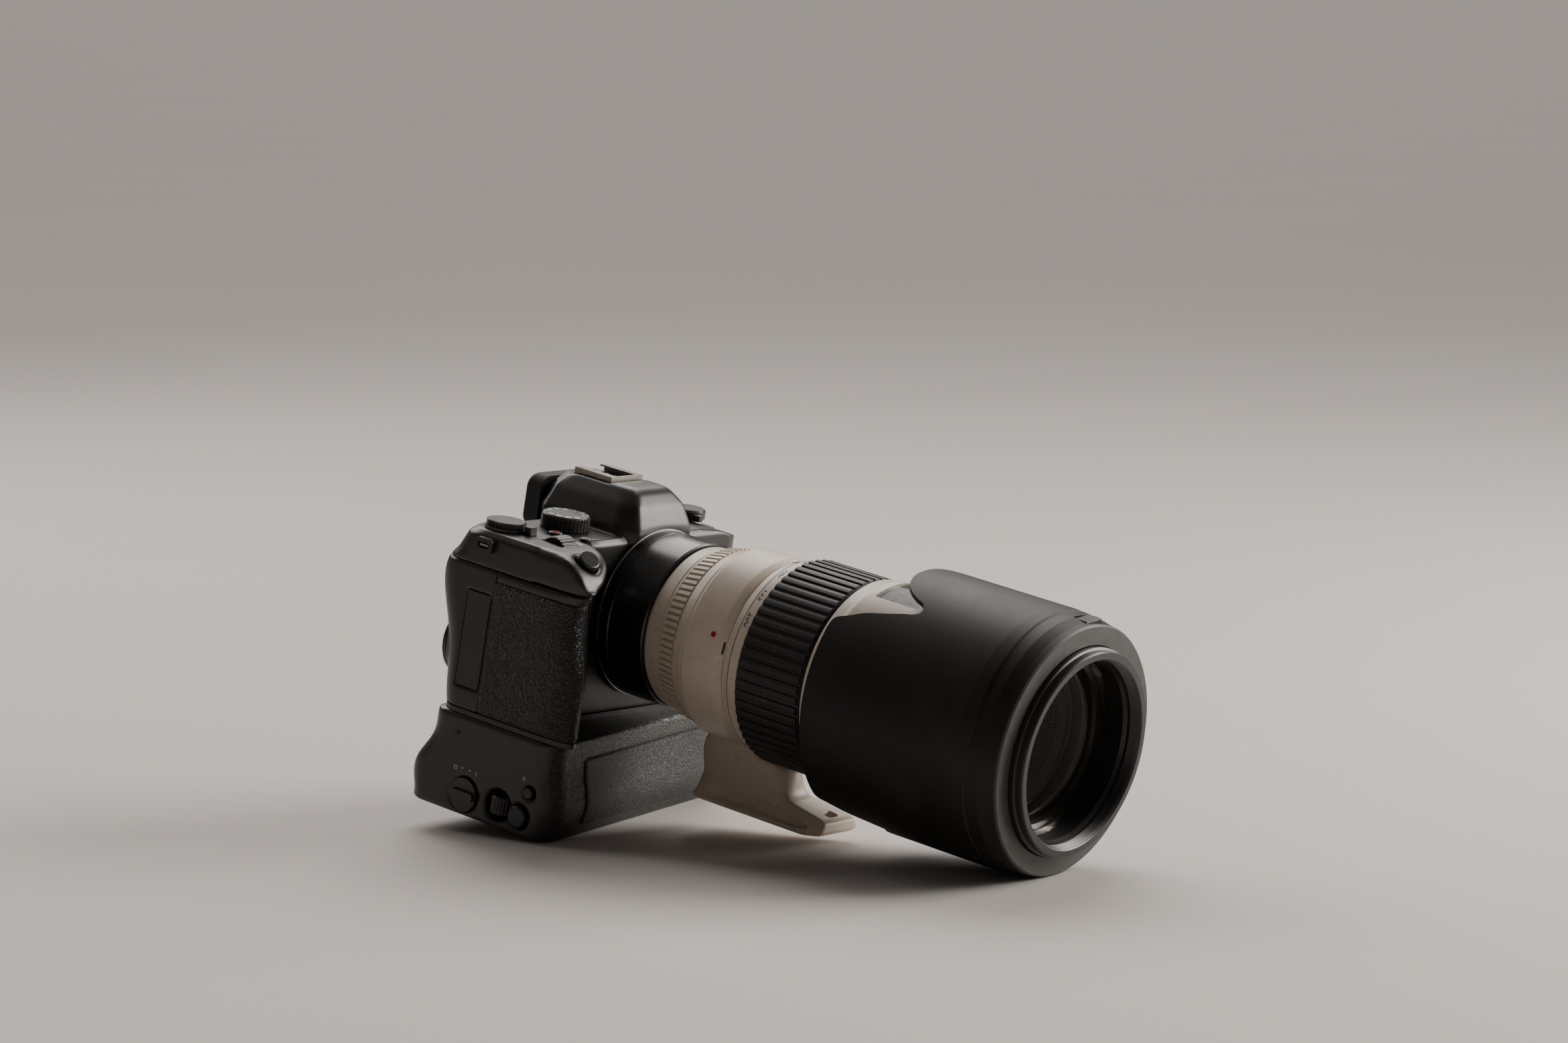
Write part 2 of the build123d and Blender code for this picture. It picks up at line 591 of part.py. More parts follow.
# fixed rear barrel and the tube that carries every ring
lens_back = -adapter_long
with BuildPart() as rear_barrel:
    revolve(turned((lens_back, 28.0), (lens_back, 33.6), (-25.0, 34.2), (-25.4, 34.6), (-31.6, 35.4),
                   (-31.9, 34.9), (-32.4, 34.9), (-32.7, 35.8), (-33.6, 36.0), (-33.9, 35.3),
                   (-42.0, 36.7), (-42.3, 37.6), (-46.6, 38.6),
                   (-48.3, 38.6), (-48.3, tube_r), (-69.9, tube_r), (-69.9, 39.4), (-72.9, 39.9),
                   (-72.9, tube_r), (-196, tube_r), (-196, tube_bore), (-36, tube_bore),
                   (-30, 28.0)), axis=Axis.Y)
rear_barrel.part.label = "rear_barrel"
export_step(rear_barrel.part.moved(rest), "parts/rear_barrel.step")

# tripod collar: ring, neck and foot in one casting
ring_bore = tube_r + run_gap
foot_top, foot_bottom = -54.9, -66.9
thread_y = -72.0
knob_seat = Plane((43.0, -58.0, 0), x_dir=(0, 1, 0), z_dir=(1, 0, 0))
# the foot is a long plate with leaning sides, hollowed along each side and near its tip
with BuildPart() as foot:
    with BuildSketch(Plane.YZ.offset(-11.6)):
        with BuildLine():
            Polyline((-44.6, foot_top + 1.5), (-43.8, foot_bottom + 1.2), (-45.0, foot_bottom), (-101, foot_bottom),
                     (-110.5, foot_bottom + 2.0), (-112.4, foot_bottom + 4.0), (-112.0, foot_top - 4.6),
                     (-110.0, foot_top - 3.4), (-91.0, foot_top - 0.6), (-88.6, foot_top + 1.5), close=True)
        make_face()
    extrude(amount=23.2)
    with BuildSketch(Plane.XZ.offset(40)):
        with BuildLine():
            Polyline((-10.7, foot_bottom), (-11.6, foot_bottom + 0.9), (-11.6, foot_bottom + 5.0),
                     (-7.6, foot_top + 1.5), (7.6, foot_top + 1.5), (11.6, foot_bottom + 5.0),
                     (11.6, foot_bottom + 0.9), (10.7, foot_bottom), close=True)
        make_face()
    extrude(amount=80, mode=Mode.INTERSECT)
    for side in (-1, 1):
        with BuildSketch(Plane.YZ.offset(side * 8.6)):
            with BuildLine():
                Polyline((-52.5, -61.5), (-56.0, -58.4), (-62.0, -57.4), (-76.0, -58.2), (-97.0, -60.6),
                         (-106.0, -62.6), (-98.0, -64.4), (-60.0, -64.4), (-54.0, -63.6), close=True)
            make_face()
        extrude(amount=side * 4.0, mode=Mode.SUBTRACT)
    add(slab(-3.0, 3.0, -108.4, -103.6, -60.0, -50), mode=Mode.SUBTRACT)

with BuildPart() as tripod_collar:
    revolve(turned((collar_back, ring_bore), (collar_back, 40.0), (-49.2, collar_r), (-66.0, collar_r),
                   (-69.3, 38.9), (collar_front, ring_bore)), axis=Axis.Y)
    loft([plate(Plane((0, -60.2, -34.0)), 24, 20, 6), plate(Plane((0, -63.0, -45.0)), 16, 46, 6),
          plate(Plane((0, -66.0, foot_top)), 18, 46, 6)])
    extrude(disc(Plane.XZ.offset(30), 39.1), amount=-collar_back - 30.1, mode=Mode.SUBTRACT)
    extrude(disc(Plane.XZ, ring_bore), amount=140, mode=Mode.SUBTRACT)
    extrude(disc(Plane.XZ.offset(69.6), 43.0), amount=80, mode=Mode.SUBTRACT)
    add(foot.part)
    with Locations((0, thread_y, foot_bottom), (0, thread_y - 26, foot_bottom)):
        Cylinder(tripod_r, 18.0, mode=Mode.SUBTRACT)
    for angle in (2, 98, 188, 279):
        with Locations(Location((0, 0, 0), (0, angle, 0)) * Pos(0, -68.2, 39.3)):
            Box(5.6, 1.3, 1.4, mode=Mode.SUBTRACT)
    add(slab(37.6, 43.0, -64.0, -52.0, -6.0, 6.0))
    pocket(knob_seat, 2.9, 4.6)
tripod_collar.part.label = "tripod_collar"
export_step(tripod_collar.part.moved(rest), "parts/tripod_collar.step")

with BuildPart() as collar_knob:
    extrude(disc(knob_seat.offset(0.3), 5.6), amount=10.5)
    with Locations(knob_seat.offset(5.5)):
        with PolarLocations(6.0, 18):
            Cylinder(0.6, 12, mode=Mode.SUBTRACT)
    extrude(disc(knob_seat.offset(0.3), 2.5), amount=-4.5)
collar_knob.part.label = "collar_knob"
export_step(collar_knob.part.moved(rest), "parts/collar_knob.step")

# turning zoom ring and its rubber sleeve
with BuildPart() as zoom_ring:
    revolve(turned((-73.2, ring_bore), (-73.2, 40.2), (-74.0, 41.0), (-78.9, zoom_r), (-79.1, 41.0),
                   (-111.7, 41.0), (-111.9, zoom_r), (-112.4, 41.0), (-112.4, ring_bore)), axis=Axis.Y)
zoom_ring.part.label = "zoom_ring"
export_step(zoom_ring.part.moved(rest), "parts/zoom_ring.step")

with BuildPart() as zoom_rubber:
    revolve(turned((-79.1, 41.0), (-79.1, 42.0), (-79.6, zoom_rubber_r), (-111.2, zoom_rubber_r),
                   (-111.7, 42.0), (-111.7, 41.0)), axis=Axis.Y)
zoom_rubber.part.label = "zoom_rubber"
export_step(zoom_rubber.part.moved(rest), "parts/zoom_rubber.step")

# fixed middle barrel with the distance window and the switch panel
window_back, window_front = -123.5, -144.5
with BuildPart() as window_glass:
    revolve(turned((window_back - 0.1, 43.0), (window_back - 0.1, barrel_r - 0.1),
                   (window_front + 0.1, barrel_r - 0.1), (window_front + 0.1, 43.0)), axis=Axis.Y)
    add(slab(-17.9, 17.9, -150, -118, 30, 50), mode=Mode.INTERSECT)
window_glass.part.label = "window_glass"
export_step(window_glass.part.moved(rest), "parts/window_glass.step")

with BuildPart() as window_bay:
    revolve(turned((window_back, 43.0), (window_back, 50), (window_front, 50), (window_front, 43.0)),
            axis=Axis.Y)
    add(slab(-18.0, 18.0, -150, -118, 30, 50), mode=Mode.INTERSECT)
with BuildPart() as mid_barrel:
    revolve(turned((-112.8, tube_r), (-112.8, 42.8), (-113.6, 43.4), (-118.0, 44.0), (-120.0, barrel_r),
                   (-159.4, barrel_r), (-160.0, 43.8), (-160.0, tube_r)), axis=Axis.Y)
    add(window_bay.part, mode=Mode.SUBTRACT)
    add(slab(41.0, 45.6, -151.0, -122.0, -15.0, 15.0))
    for z in (7.0, -7.0):
        add(slab(44.0, 46, -143.6, -129.4, z - 1.7, z + 1.7), mode=Mode.SUBTRACT)
mid_barrel.part.label = "mid_barrel"
export_step(mid_barrel.part.moved(rest), "parts/mid_barrel.step")

for name, z in (("focus_switch", 7.0), ("stabiliser_switch", -7.0)):
    with BuildPart() as switch:
        add(slab(44.3, 45.7, -136.0, -129.8, z - 1.4, z + 1.4))
        add(slab(45.7, 47.0, -134.6, -131.2, z - 1.4, z + 1.4))
        chamfer(switch.faces().sort_by(Axis.X)[-1].edges(), 0.3)
    switch.part.label = name
    export_step(switch.part.moved(rest), f"parts/{name}.step")

with BuildPart() as focus_ring:
    revolve(turned((-160.4, ring_bore), (-160.4, 43.6), (-161.0, 44.2), (-194.8, 44.2), (-195.6, 43.4),
                   (-195.6, ring_bore)), axis=Axis.Y)
focus_ring.part.label = "focus_ring"
export_step(focus_ring.part.moved(rest), "parts/focus_ring.step")

with BuildPart() as front_barrel:
    revolve(turned((-196, 34.0), (-196, 43.4), (-205, 43.4), (-206, 43.0), (-218.8, 43.0), (-219.2, 42.1),
                   (-221.9, 42.1), (lens_front, 41.6), (lens_front, 39.1), (-221.9, filter_r),
                   (-216.4, filter_r), (-216.4, 37.6), (-214.8, 36.8), (-201, 36.8), (-201, 34.0)),
            axis=Axis.Y)
front_barrel.part.label = "front_barrel"
export_step(front_barrel.part.moved(rest), "parts/front_barrel.step")


def glass(front_edge, front_apex, back_apex, back_edge, radius):
    """Profile of a round glass, spun about the lens axis."""
    with BuildSketch(Plane.YZ) as profile:
        with BuildLine():
            Line((back_apex, 0), (front_apex, 0))
            Spline((front_apex, 0), (front_edge, radius), tangents=[(0, 1), (1, 1.6)])
            Line((front_edge, radius), (back_edge, radius))
            Line((back_edge, radius), (back_apex, 0))
        make_face()
    return profile.sketch


with BuildPart() as front_glass:
    revolve(glass(-208.0, -213.6, -203.5, -202.0, 36.7), axis=Axis.Y)
front_glass.part.label = "front_glass"
export_step(front_glass.part.moved(rest), "parts/front_glass.step")

cell_r = tube_bore - 0.4
with BuildPart() as zoom_group:
    revolve(turned((-96, 0), (-96, cell_r), (-110, cell_r), (-110, 29), (-106, 27), (-107.5, 0)), axis=Axis.Y)
zoom_group.part.label = "zoom_group"
export_step(zoom_group.part.moved(rest), "parts/zoom_group.step")

with BuildPart() as focus_group:
    revolve(turned((-162, 0), (-160, 27), (-160, cell_r), (-170, cell_r), (-170, 28), (-168, 0)), axis=Axis.Y)
focus_group.part.label = "focus_group"
export_step(focus_group.part.moved(rest), "parts/focus_group.step")

# hood: a shell of revolution whose free edge is cut into two narrow and two wide petals
petal_edge = [(0, -137.0), (5.6, -137.2), (10.3, -138.4), (14.9, -140.8), (18.4, -144.6), (21.6, -150.4),
              (24.4, -155.4), (27.2, -156.2), (29.8, -151.0), (31.9, -143.4), (34.4, -133.6), (37.2, -126.4),
              (41.0, -122.0)]
hood_turned = Location((0, 0, 0), (0, -hood_twist, 0))
with BuildSketch(Plane.XY.offset(-70)) as petal_gap:
    with BuildLine():
        edge = Spline(*[(-x, y) for x, y in reversed(petal_edge[1:])], *petal_edge, tangents=[(1, 0), (1, 0)])
        Polyline(edge @ 1, (41.0, -110), (-41.0, -110), edge @ 0)
    make_face()
with BuildPart() as hood:
    revolve(turned((hood_rim, 43.4), (hood_rim, 50.8), (hood_rim + 0.8, 51.6), (-213.4, 51.9), (-208.5, 53.0),
                   (-203.0, 53.3), (-202.4, 53.8), (-197.0, hood_r), (hood_back - 0.5, hood_r), (hood_back, 53.6),
                   (hood_back, hood_r - hood_wall), (-197, hood_r - hood_wall), (-207, 51.0), (-209.5, 48.0),
                   (-209.5, 43.4)), axis=Axis.Y)
    extrude(petal_gap.sketch, amount=140, mode=Mode.SUBTRACT)
    add(slab(2.9, 13.9, -214.7, -207.5, 48.5, 58.5), mode=Mode.SUBTRACT)
hood.part.label = "hood"
export_step(hood.part.moved(rest * hood_turned), "parts/hood.step")

with BuildPart() as hood_button:
    add(slab(3.3, 13.5, -214.3, -207.9, 49.3, 52.2))
    chamfer(hood_button.edges().group_by(Axis.Z)[-1], 0.6)
hood_button.part.label = "hood_button"
export_step(hood_button.part.moved(rest * hood_turned), "parts/hood_button.step")
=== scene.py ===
import json
import math

import bmesh
import bpy
from mathutils import Matrix, Vector


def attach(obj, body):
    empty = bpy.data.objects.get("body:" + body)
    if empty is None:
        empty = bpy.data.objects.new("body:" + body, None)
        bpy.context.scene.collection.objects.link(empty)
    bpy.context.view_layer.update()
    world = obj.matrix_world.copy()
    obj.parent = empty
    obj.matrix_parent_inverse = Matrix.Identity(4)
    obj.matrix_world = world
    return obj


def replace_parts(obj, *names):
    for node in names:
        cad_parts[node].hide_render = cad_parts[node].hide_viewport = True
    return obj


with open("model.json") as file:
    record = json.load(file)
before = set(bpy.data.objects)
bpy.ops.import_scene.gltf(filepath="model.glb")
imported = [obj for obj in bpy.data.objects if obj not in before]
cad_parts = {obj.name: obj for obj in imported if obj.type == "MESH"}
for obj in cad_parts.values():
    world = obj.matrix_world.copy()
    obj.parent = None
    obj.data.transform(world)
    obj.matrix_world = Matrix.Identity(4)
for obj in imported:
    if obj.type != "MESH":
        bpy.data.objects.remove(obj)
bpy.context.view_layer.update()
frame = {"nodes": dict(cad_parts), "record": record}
nodes = frame["nodes"]
print("frame loaded:", len(nodes), "nodes")

# the camera lies nose down; details are drawn square to the lens, in mm, and laid down with it
lie = {"noseDown": 9.498, "lean": 1.4356, "shift": (9.945, 79.695, 86.641)}
turnDown = Matrix.Rotation(math.radians(lie["lean"]), 4, "Y") @ Matrix.Rotation(math.radians(lie["noseDown"]), 4, "X")
laid = Matrix.Scale(0.001, 4) @ Matrix.Translation(lie["shift"]) @ turnDown
squared = laid.inverted()


class Field:
    # one socket of a material, so that its maths reads as plain sums
    def __init__(self, tree, socket=None):
        self.tree = tree
        self.socket = socket

    def node(self, kind, settings=None, sockets=None, out=0):
        made = self.tree.nodes.new(kind)
        for key, value in (settings or {}).items():
            if key == "stops":
                ramp = made.color_ramp
                while len(ramp.elements) < len(value):
                    ramp.elements.new(0.5)
                for element, (place, colour) in zip(ramp.elements, value):
                    element.position = place
                    element.color = (*colour, 1) if len(colour) == 3 else colour
            else:
                setattr(made, key, value)
        for key, value in (sockets or {}).items():
            if isinstance(value, Field):
                self.tree.links.new(value.socket, made.inputs[key])
            else:
                made.inputs[key].default_value = value
        return Field(self.tree, made.outputs[out])

    def sums(self, operation, first, second=0.0):
        return self.node("ShaderNodeMath", {"operation": operation}, {0: first, 1: second})

    def __add__(self, other):
        return self.sums("ADD", self, other)

    def __sub__(self, other):
        return self.sums("SUBTRACT", self, other)

    def __rsub__(self, other):
        return self.sums("SUBTRACT", other, self)

    def __mul__(self, other):
        return self.sums("MULTIPLY", self, other)

    def __pow__(self, other):
        return self.sums("POWER", self, other)

    def span(self, low, high, first=0.0, last=1.0):
        # maps low..high to first..last, held at the ends
        return self.node("ShaderNodeMapRange", {"clamp": True},
                         {"Value": self, "From Min": low, "From Max": high, "To Min": first, "To Max": last})

    def tint(self, first, second):
        return self.node("ShaderNodeMix", {"data_type": "RGBA"},
                         {0: self, 6: first if isinstance(first, Field) else (*first, 1),
                          7: second if isinstance(second, Field) else (*second, 1)}, out=2)


def squareCoordinates(start):
    # object coordinates turned back square to the lens, in mm
    turn = turnDown.inverted()
    away = turn @ Vector(lie["shift"])
    return start.node("ShaderNodeMapping", {}, {
        "Vector": start.node("ShaderNodeTexCoord", out="Object"), "Location": -away,
        "Rotation": turn.to_euler("XYZ"), "Scale": (1000, 1000, 1000)})


def noise(start, place, size, detail=3.0, rough=0.55):
    return start.node("ShaderNodeTexNoise", {}, {"Vector": place, "Scale": 1 / size, "Detail": detail,
                                                 "Roughness": rough})


def cells(start, place, size, feature="F1"):
    return start.node("ShaderNodeTexVoronoi", {"feature": feature}, {"Vector": place, "Scale": 1 / size})


finishes = {}


def finish(name, look, draw=None):
    # look: two ends of the colour, roughness range, grain size and relief in mm; draw adds what is special
    material = bpy.data.materials.new(name)
    material.use_nodes = True
    tree = material.node_tree
    tree.nodes.clear()
    shader = tree.nodes.new("ShaderNodeBsdfPrincipled")
    sheet = tree.nodes.new("ShaderNodeOutputMaterial")
    tree.links.new(shader.outputs[0], sheet.inputs["Surface"])
    start = Field(tree)
    place = squareCoordinates(start)
    patch = noise(start, place, look.get("patch", 18.0), 4.0)
    fine = noise(start, place, look.get("speck", 0.8), 2.0)
    grain = noise(start, place, look.get("grain", 0.3), 2.0, 0.6)
    colour = patch.span(0.3, 0.7).tint(look["shade"], look["tint"])
    low, high = look["rough"]
    rough = (patch * 0.6 + fine * 0.4).span(0.3, 0.7, low, high)
    made = {"place": place, "colour": colour, "rough": rough, "relief": grain, "patch": patch, "fine": fine}
    if draw:
        draw(start, made)
    for socket, key in (("Base Color", "colour"), ("Roughness", "rough")):
        tree.links.new(made[key].socket, shader.inputs[socket])
    bump = start.node("ShaderNodeBump", {}, {"Height": made["relief"], "Strength": 1.0,
                                             "Distance": look.get("relief", 0.01) / 1000})
    tree.links.new(bump.socket, shader.inputs["Normal"])
    for socket, value in look.get("fixed", {}).items():
        shader.inputs[socket].default_value = value
    material.diffuse_color = (*look["tint"], 1)
    finishes[name] = material


def leatherGrain(size, deep):
    # wrinkled grain: raised pads with creases between them
    def draw(start, made):
        bent = start.node("ShaderNodeVectorMath", {"operation": "ADD"}, {
            0: made["place"], 1: start.node("ShaderNodeVectorMath", {"operation": "SCALE"}, {
                0: start.node("ShaderNodeTexNoise", {}, {"Vector": made["place"], "Scale": 0.9 / size,
                                                         "Detail": 2.0}, out="Color"), "Scale": size * 1.3})})
        crease = cells(start, bent, size, "DISTANCE_TO_EDGE").span(0.0, 0.5)
        pad = cells(start, bent, size * 1.7).span(0.1, 0.8, 1.0, 0.0)
        made["relief"] = crease ** 0.8 * 0.75 + pad * 0.35 * deep + made["fine"] * 0.04
        made["rough"] = made["rough"] + crease * -0.12 + 0.06
        # the creases are darkened in the colour: painted shade
        made["colour"] = (crease * 0.8).tint((0.010, 0.0095, 0.009), made["colour"])
    return draw


def pebbledFront(start, made):
    # the battery grip's front is grained like leather, its other sides are smooth
    split = {axis: start.node("ShaderNodeSeparateXYZ", {}, {0: made["place"]}, out=axis) for axis in "XY"}
    front = split["Y"].span(9.0, 5.0) * split["X"].span(-77.6, -76.0)
    pebble = cells(start, made["place"], 0.95, "DISTANCE_TO_EDGE").span(0.0, 0.45)
    made["relief"] = made["relief"] * 0.06 + front * pebble
    made["rough"] = made["rough"] - front * 0.03


def turnedLines(start, made):
    # fine lathe lines round the lens
    parts = start.node("ShaderNodeSeparateXYZ", {}, {0: made["place"]}, out="Y")
    line = start.node("ShaderNodeTexNoise", {"noise_dimensions": "1D"}, {"W": parts, "Scale": 6.0, "Detail": 3.0})
    made["relief"] = made["relief"] * 0.3 + line * 0.7
    made["rough"] = made["rough"] + (line - 0.5) * 0.12


def brushed(start, made):
    stretched = start.node("ShaderNodeVectorMath", {"operation": "MULTIPLY"}, {0: made["place"], 1: (6.0, 0.35, 6.0)})
    streak = noise(start, stretched, 1.0, 4.0)
    made["relief"] = streak
    made["rough"] = made["rough"] + (streak - 0.5) * 0.25
    made["colour"] = streak.span(0.3, 0.7).tint((0.20, 0.19, 0.17), made["colour"])


def rimSheenAndWear(start, made):
    # the hood's rim face is lighter grey in broken patches, partly wear and partly painted sheen, and its flank has
    # faint brown scuffs
    split = start.node("ShaderNodeSeparateXYZ", {}, {0: made["place"]}, out="Y")
    rim = split.span(-215.6, -216.7)
    broken = noise(start, made["place"], 5.0, 5.0).span(0.15, 0.6, 0.6, 1.0)
    scuff = noise(start, made["place"], 30.0, 5.0).span(0.48, 0.75) * 0.45
    made["colour"] = scuff.tint(made["colour"], (0.030, 0.023, 0.016))
    # the rim face is painted lighter grey: partly wear, partly painted sheen
    made["colour"] = (rim * broken).tint(made["colour"], (0.075, 0.073, 0.069))
    made["rough"] = made["rough"] - rim * 0.14


def dusty(start, made):
    specks = cells(start, made["place"], 2.6).span(0.02, 0.09, 1.0, 0.0)
    dust = specks * noise(start, made["place"], 9.0).span(0.45, 0.7)
    made["colour"] = (dust * 0.35).tint(made["colour"], (0.20, 0.19, 0.17))
    made["rough"] = made["rough"] + dust * 0.1


def spunTop(start, made):
    made["rough"] = made["rough"] + (made["fine"] - 0.5) * 0.1


def handled(start, made):
    # paint with faint grime in its hollows and polished spots where it is held
    grime = noise(start, made["place"], 6.0, 6.0, 0.7).span(0.52, 0.8) * 0.35
    made["colour"] = grime.tint(made["colour"], (0.30, 0.25, 0.19))
    made["rough"] = made["rough"] - made["patch"].span(0.5, 0.8) * 0.08


def coated(start, made):
    made["rough"] = made["patch"].span(0.2, 0.9, 0.0, 0.003)


looks = {
    "bodyBlack": ({"tint": (0.021, 0.0197, 0.018), "shade": (0.015, 0.0142, 0.013), "rough": (0.33, 0.42),
                   "grain": 0.22, "relief": 0.012, "fixed": {"Specular IOR Level": 0.55}}, dusty),
    "caseBlack": ({"tint": (0.021, 0.0197, 0.018), "shade": (0.015, 0.0142, 0.013), "rough": (0.31, 0.40),
                   "grain": 0.22, "relief": 0.2, "fixed": {"Specular IOR Level": 0.6}}, pebbledFront),
    "gripLeather": ({"tint": (0.026, 0.025, 0.023), "shade": (0.018, 0.017, 0.016), "rough": (0.30, 0.40),
                     "speck": 0.35, "relief": 0.62}, leatherGrain(1.65, 1.0)),
    "pebbleRubber": ({"tint": (0.030, 0.029, 0.027), "shade": (0.022, 0.021, 0.020), "rough": (0.30, 0.42),
                      "speck": 0.3, "relief": 0.32}, leatherGrain(0.9, 0.6)),
    "dialBlack": ({"tint": (0.040, 0.038, 0.035), "shade": (0.030, 0.029, 0.027), "rough": (0.30, 0.42),
                   "grain": 0.15, "relief": 0.006}, spunTop),
    "shoeSteel": ({"tint": (0.40, 0.37, 0.33), "shade": (0.30, 0.275, 0.245), "rough": (0.30, 0.42),
                   "relief": 0.008, "fixed": {"Metallic": 1.0}}, brushed),
    "mountSteel": ({"tint": (0.78, 0.77, 0.75), "shade": (0.66, 0.65, 0.63), "rough": (0.12, 0.22),
                    "relief": 0.003, "fixed": {"Metallic": 1.0}}, turnedLines),
    "adapterBlack": ({"tint": (0.014, 0.014, 0.014), "shade": (0.010, 0.010, 0.010), "rough": (0.22, 0.32),
                      "grain": 0.2, "relief": 0.004, "fixed": {"Coat Weight": 0.2, "Coat Roughness": 0.2}},
                     turnedLines),
    "lensWhite": ({"tint": (0.66, 0.565, 0.465), "shade": (0.60, 0.51, 0.415), "rough": (0.36, 0.46), "patch": 25.0,
                   "grain": 0.35, "relief": 0.008, "fixed": {"Coat Weight": 0.15, "Coat Roughness": 0.35}}, handled),
    "ringRubber": ({"tint": (0.022, 0.021, 0.020), "shade": (0.015, 0.0145, 0.014), "rough": (0.46, 0.6),
                    "grain": 0.3, "relief": 0.02}, dusty),
    "hoodBlack": ({"tint": (0.011, 0.0102, 0.0092), "shade": (0.007, 0.0066, 0.006), "rough": (0.46, 0.58),
                   "patch": 30.0, "grain": 0.3, "relief": 0.012, "fixed": {"Specular IOR Level": 0.35}}, rimSheenAndWear),
    "barrelBlack": ({"tint": (0.020, 0.020, 0.019), "shade": (0.013, 0.013, 0.013), "rough": (0.28, 0.4),
                     "grain": 0.2, "relief": 0.006}, turnedLines),
    "softBlack": ({"tint": (0.020, 0.019, 0.018), "shade": (0.013, 0.012, 0.012), "rough": (0.6, 0.75),
                   "grain": 0.25, "relief": 0.02}, dusty),
    "screenGloss": ({"tint": (0.012, 0.012, 0.014), "shade": (0.008, 0.008, 0.009), "rough": (0.03, 0.16),
                     "relief": 0.0005, "fixed": {"Coat Weight": 0.6, "Coat Roughness": 0.03}}, None),
    "frontCoating": ({"tint": (1.0, 0.96, 0.94), "shade": (0.98, 0.93, 0.90), "rough": (0.0, 0.02), "relief": 0.0,
                      "fixed": {"Transmission Weight": 1.0, "IOR": 1.08, "Specular Tint": (1.0, 0.74, 0.56, 1)}},
                     coated),
    "innerCoating": ({"tint": (0.018, 0.010, 0.008), "shade": (0.010, 0.006, 0.005), "rough": (0.01, 0.02),
                      "relief": 0.0, "fixed": {"Specular IOR Level": 0.3, "Specular Tint": (1.0, 0.66, 0.45, 1)}},
                     None),
    "windowClear": ({"tint": (0.9, 0.9, 0.88), "shade": (0.86, 0.86, 0.84), "rough": (0.01, 0.04), "relief": 0.0,
                     "fixed": {"Transmission Weight": 1.0, "IOR": 1.08}}, coated),
    "sensorGlass": ({"tint": (0.06, 0.10, 0.09), "shade": (0.05, 0.06, 0.08), "rough": (0.05, 0.12),
                     "relief": 0.0002, "fixed": {"Coat Weight": 0.8}}, None),
    "packGrey": ({"tint": (0.10, 0.10, 0.10), "shade": (0.07, 0.07, 0.07), "rough": (0.4, 0.5), "relief": 0.01},
                 None),
    "markWhite": ({"tint": (0.78, 0.75, 0.70), "shade": (0.68, 0.65, 0.60), "rough": (0.45, 0.6), "speck": 0.2,
                   "relief": 0.004}, None),
    "markFaint": ({"tint": (0.30, 0.29, 0.27), "shade": (0.15, 0.145, 0.135), "rough": (0.5, 0.65), "patch": 4.0,
                   "relief": 0.004}, None),
    "markBlack": ({"tint": (0.040, 0.033, 0.027), "shade": (0.028, 0.023, 0.019), "rough": (0.45, 0.6),
                   "relief": 0.004}, None),
    "markRed": ({"tint": (0.42, 0.008, 0.012), "shade": (0.33, 0.006, 0.010), "rough": (0.3, 0.4), "relief": 0.004},
                None),
    "markGreen": ({"tint": (0.05, 0.30, 0.17), "shade": (0.04, 0.24, 0.14), "rough": (0.4, 0.5), "relief": 0.004},
                  None),
    "screwSteel": ({"tint": (0.05, 0.05, 0.05), "shade": (0.03, 0.03, 0.03), "rough": (0.3, 0.42), "relief": 0.004,
                    "fixed": {"Metallic": 0.7}}, None),
}
for finishName, (look, draw) in looks.items():
    finish(finishName, look, draw)
print("materials made:", len(finishes))

# which finish each packed slot shows
slotFinish = {
    "body_black": "bodyBlack", "grip_rubber": "gripLeather", "dial_black": "dialBlack", "steel": "shoeSteel",
    "mount_chrome": "mountSteel", "adapter_black": "adapterBlack", "lens_white": "lensWhite",
    "lens_rubber": "ringRubber", "hood_black": "hoodBlack", "ring_black": "barrelBlack",
    "lens_glass": "innerCoating", "window": "windowClear", "screen_glass": "screenGloss",
    "soft_black": "softBlack", "sensor": "sensorGlass", "battery": "packGrey"}
nodeFinish = {"vgrip_rubber": "pebbleRubber", "vgrip_housing": "caseBlack",
              "front_glass": "frontCoating", "eyepiece_glass": "screenGloss",
              "strap_lugs": "barrelBlack", "shutter_button": "barrelBlack", "vgrip_shutter_button": "barrelBlack"}
nodeSlot = {}


def materialOf(node):
    return nodeFinish.get(node, slotFinish[nodeSlot[node]])


for row in frame["record"]["subparts"]:
    nodeSlot[row["node"]] = row["material_slot"]
    for place in nodes[row["node"]].material_slots:
        place.material = finishes[materialOf(row["node"])]
nodeBody = {node: body for body, members in frame["record"]["behaviour"]["bodies"].items() for node in members}


def settle(name, mesh, body, material, sharp=35.0):
    # a mesh drawn square to the lens in mm becomes a piece that rides on its body
    mesh.transform(laid)
    mesh.name = name
    shape = bmesh.new()
    shape.from_mesh(mesh)
    for face in shape.faces:
        face.smooth = True
    for edge in shape.edges:
        edge.smooth = len(edge.link_faces) == 2 and edge.calc_face_angle(0) < math.radians(sharp)
    shape.to_mesh(mesh)
    shape.free()
    if material:
        mesh.materials.clear()
        mesh.materials.append(finishes[material])
    piece = bpy.data.objects.new(name, mesh)
    bpy.context.scene.collection.objects.link(piece)
    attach(piece, body)
    return piece


def settled(thing):
    # the plain mesh of an object with its modifiers, which is then removed
    bpy.context.view_layer.update()
    mesh = bpy.data.meshes.new_from_object(thing.evaluated_get(bpy.context.evaluated_depsgraph_get()))
    bpy.data.objects.remove(thing)
    return mesh


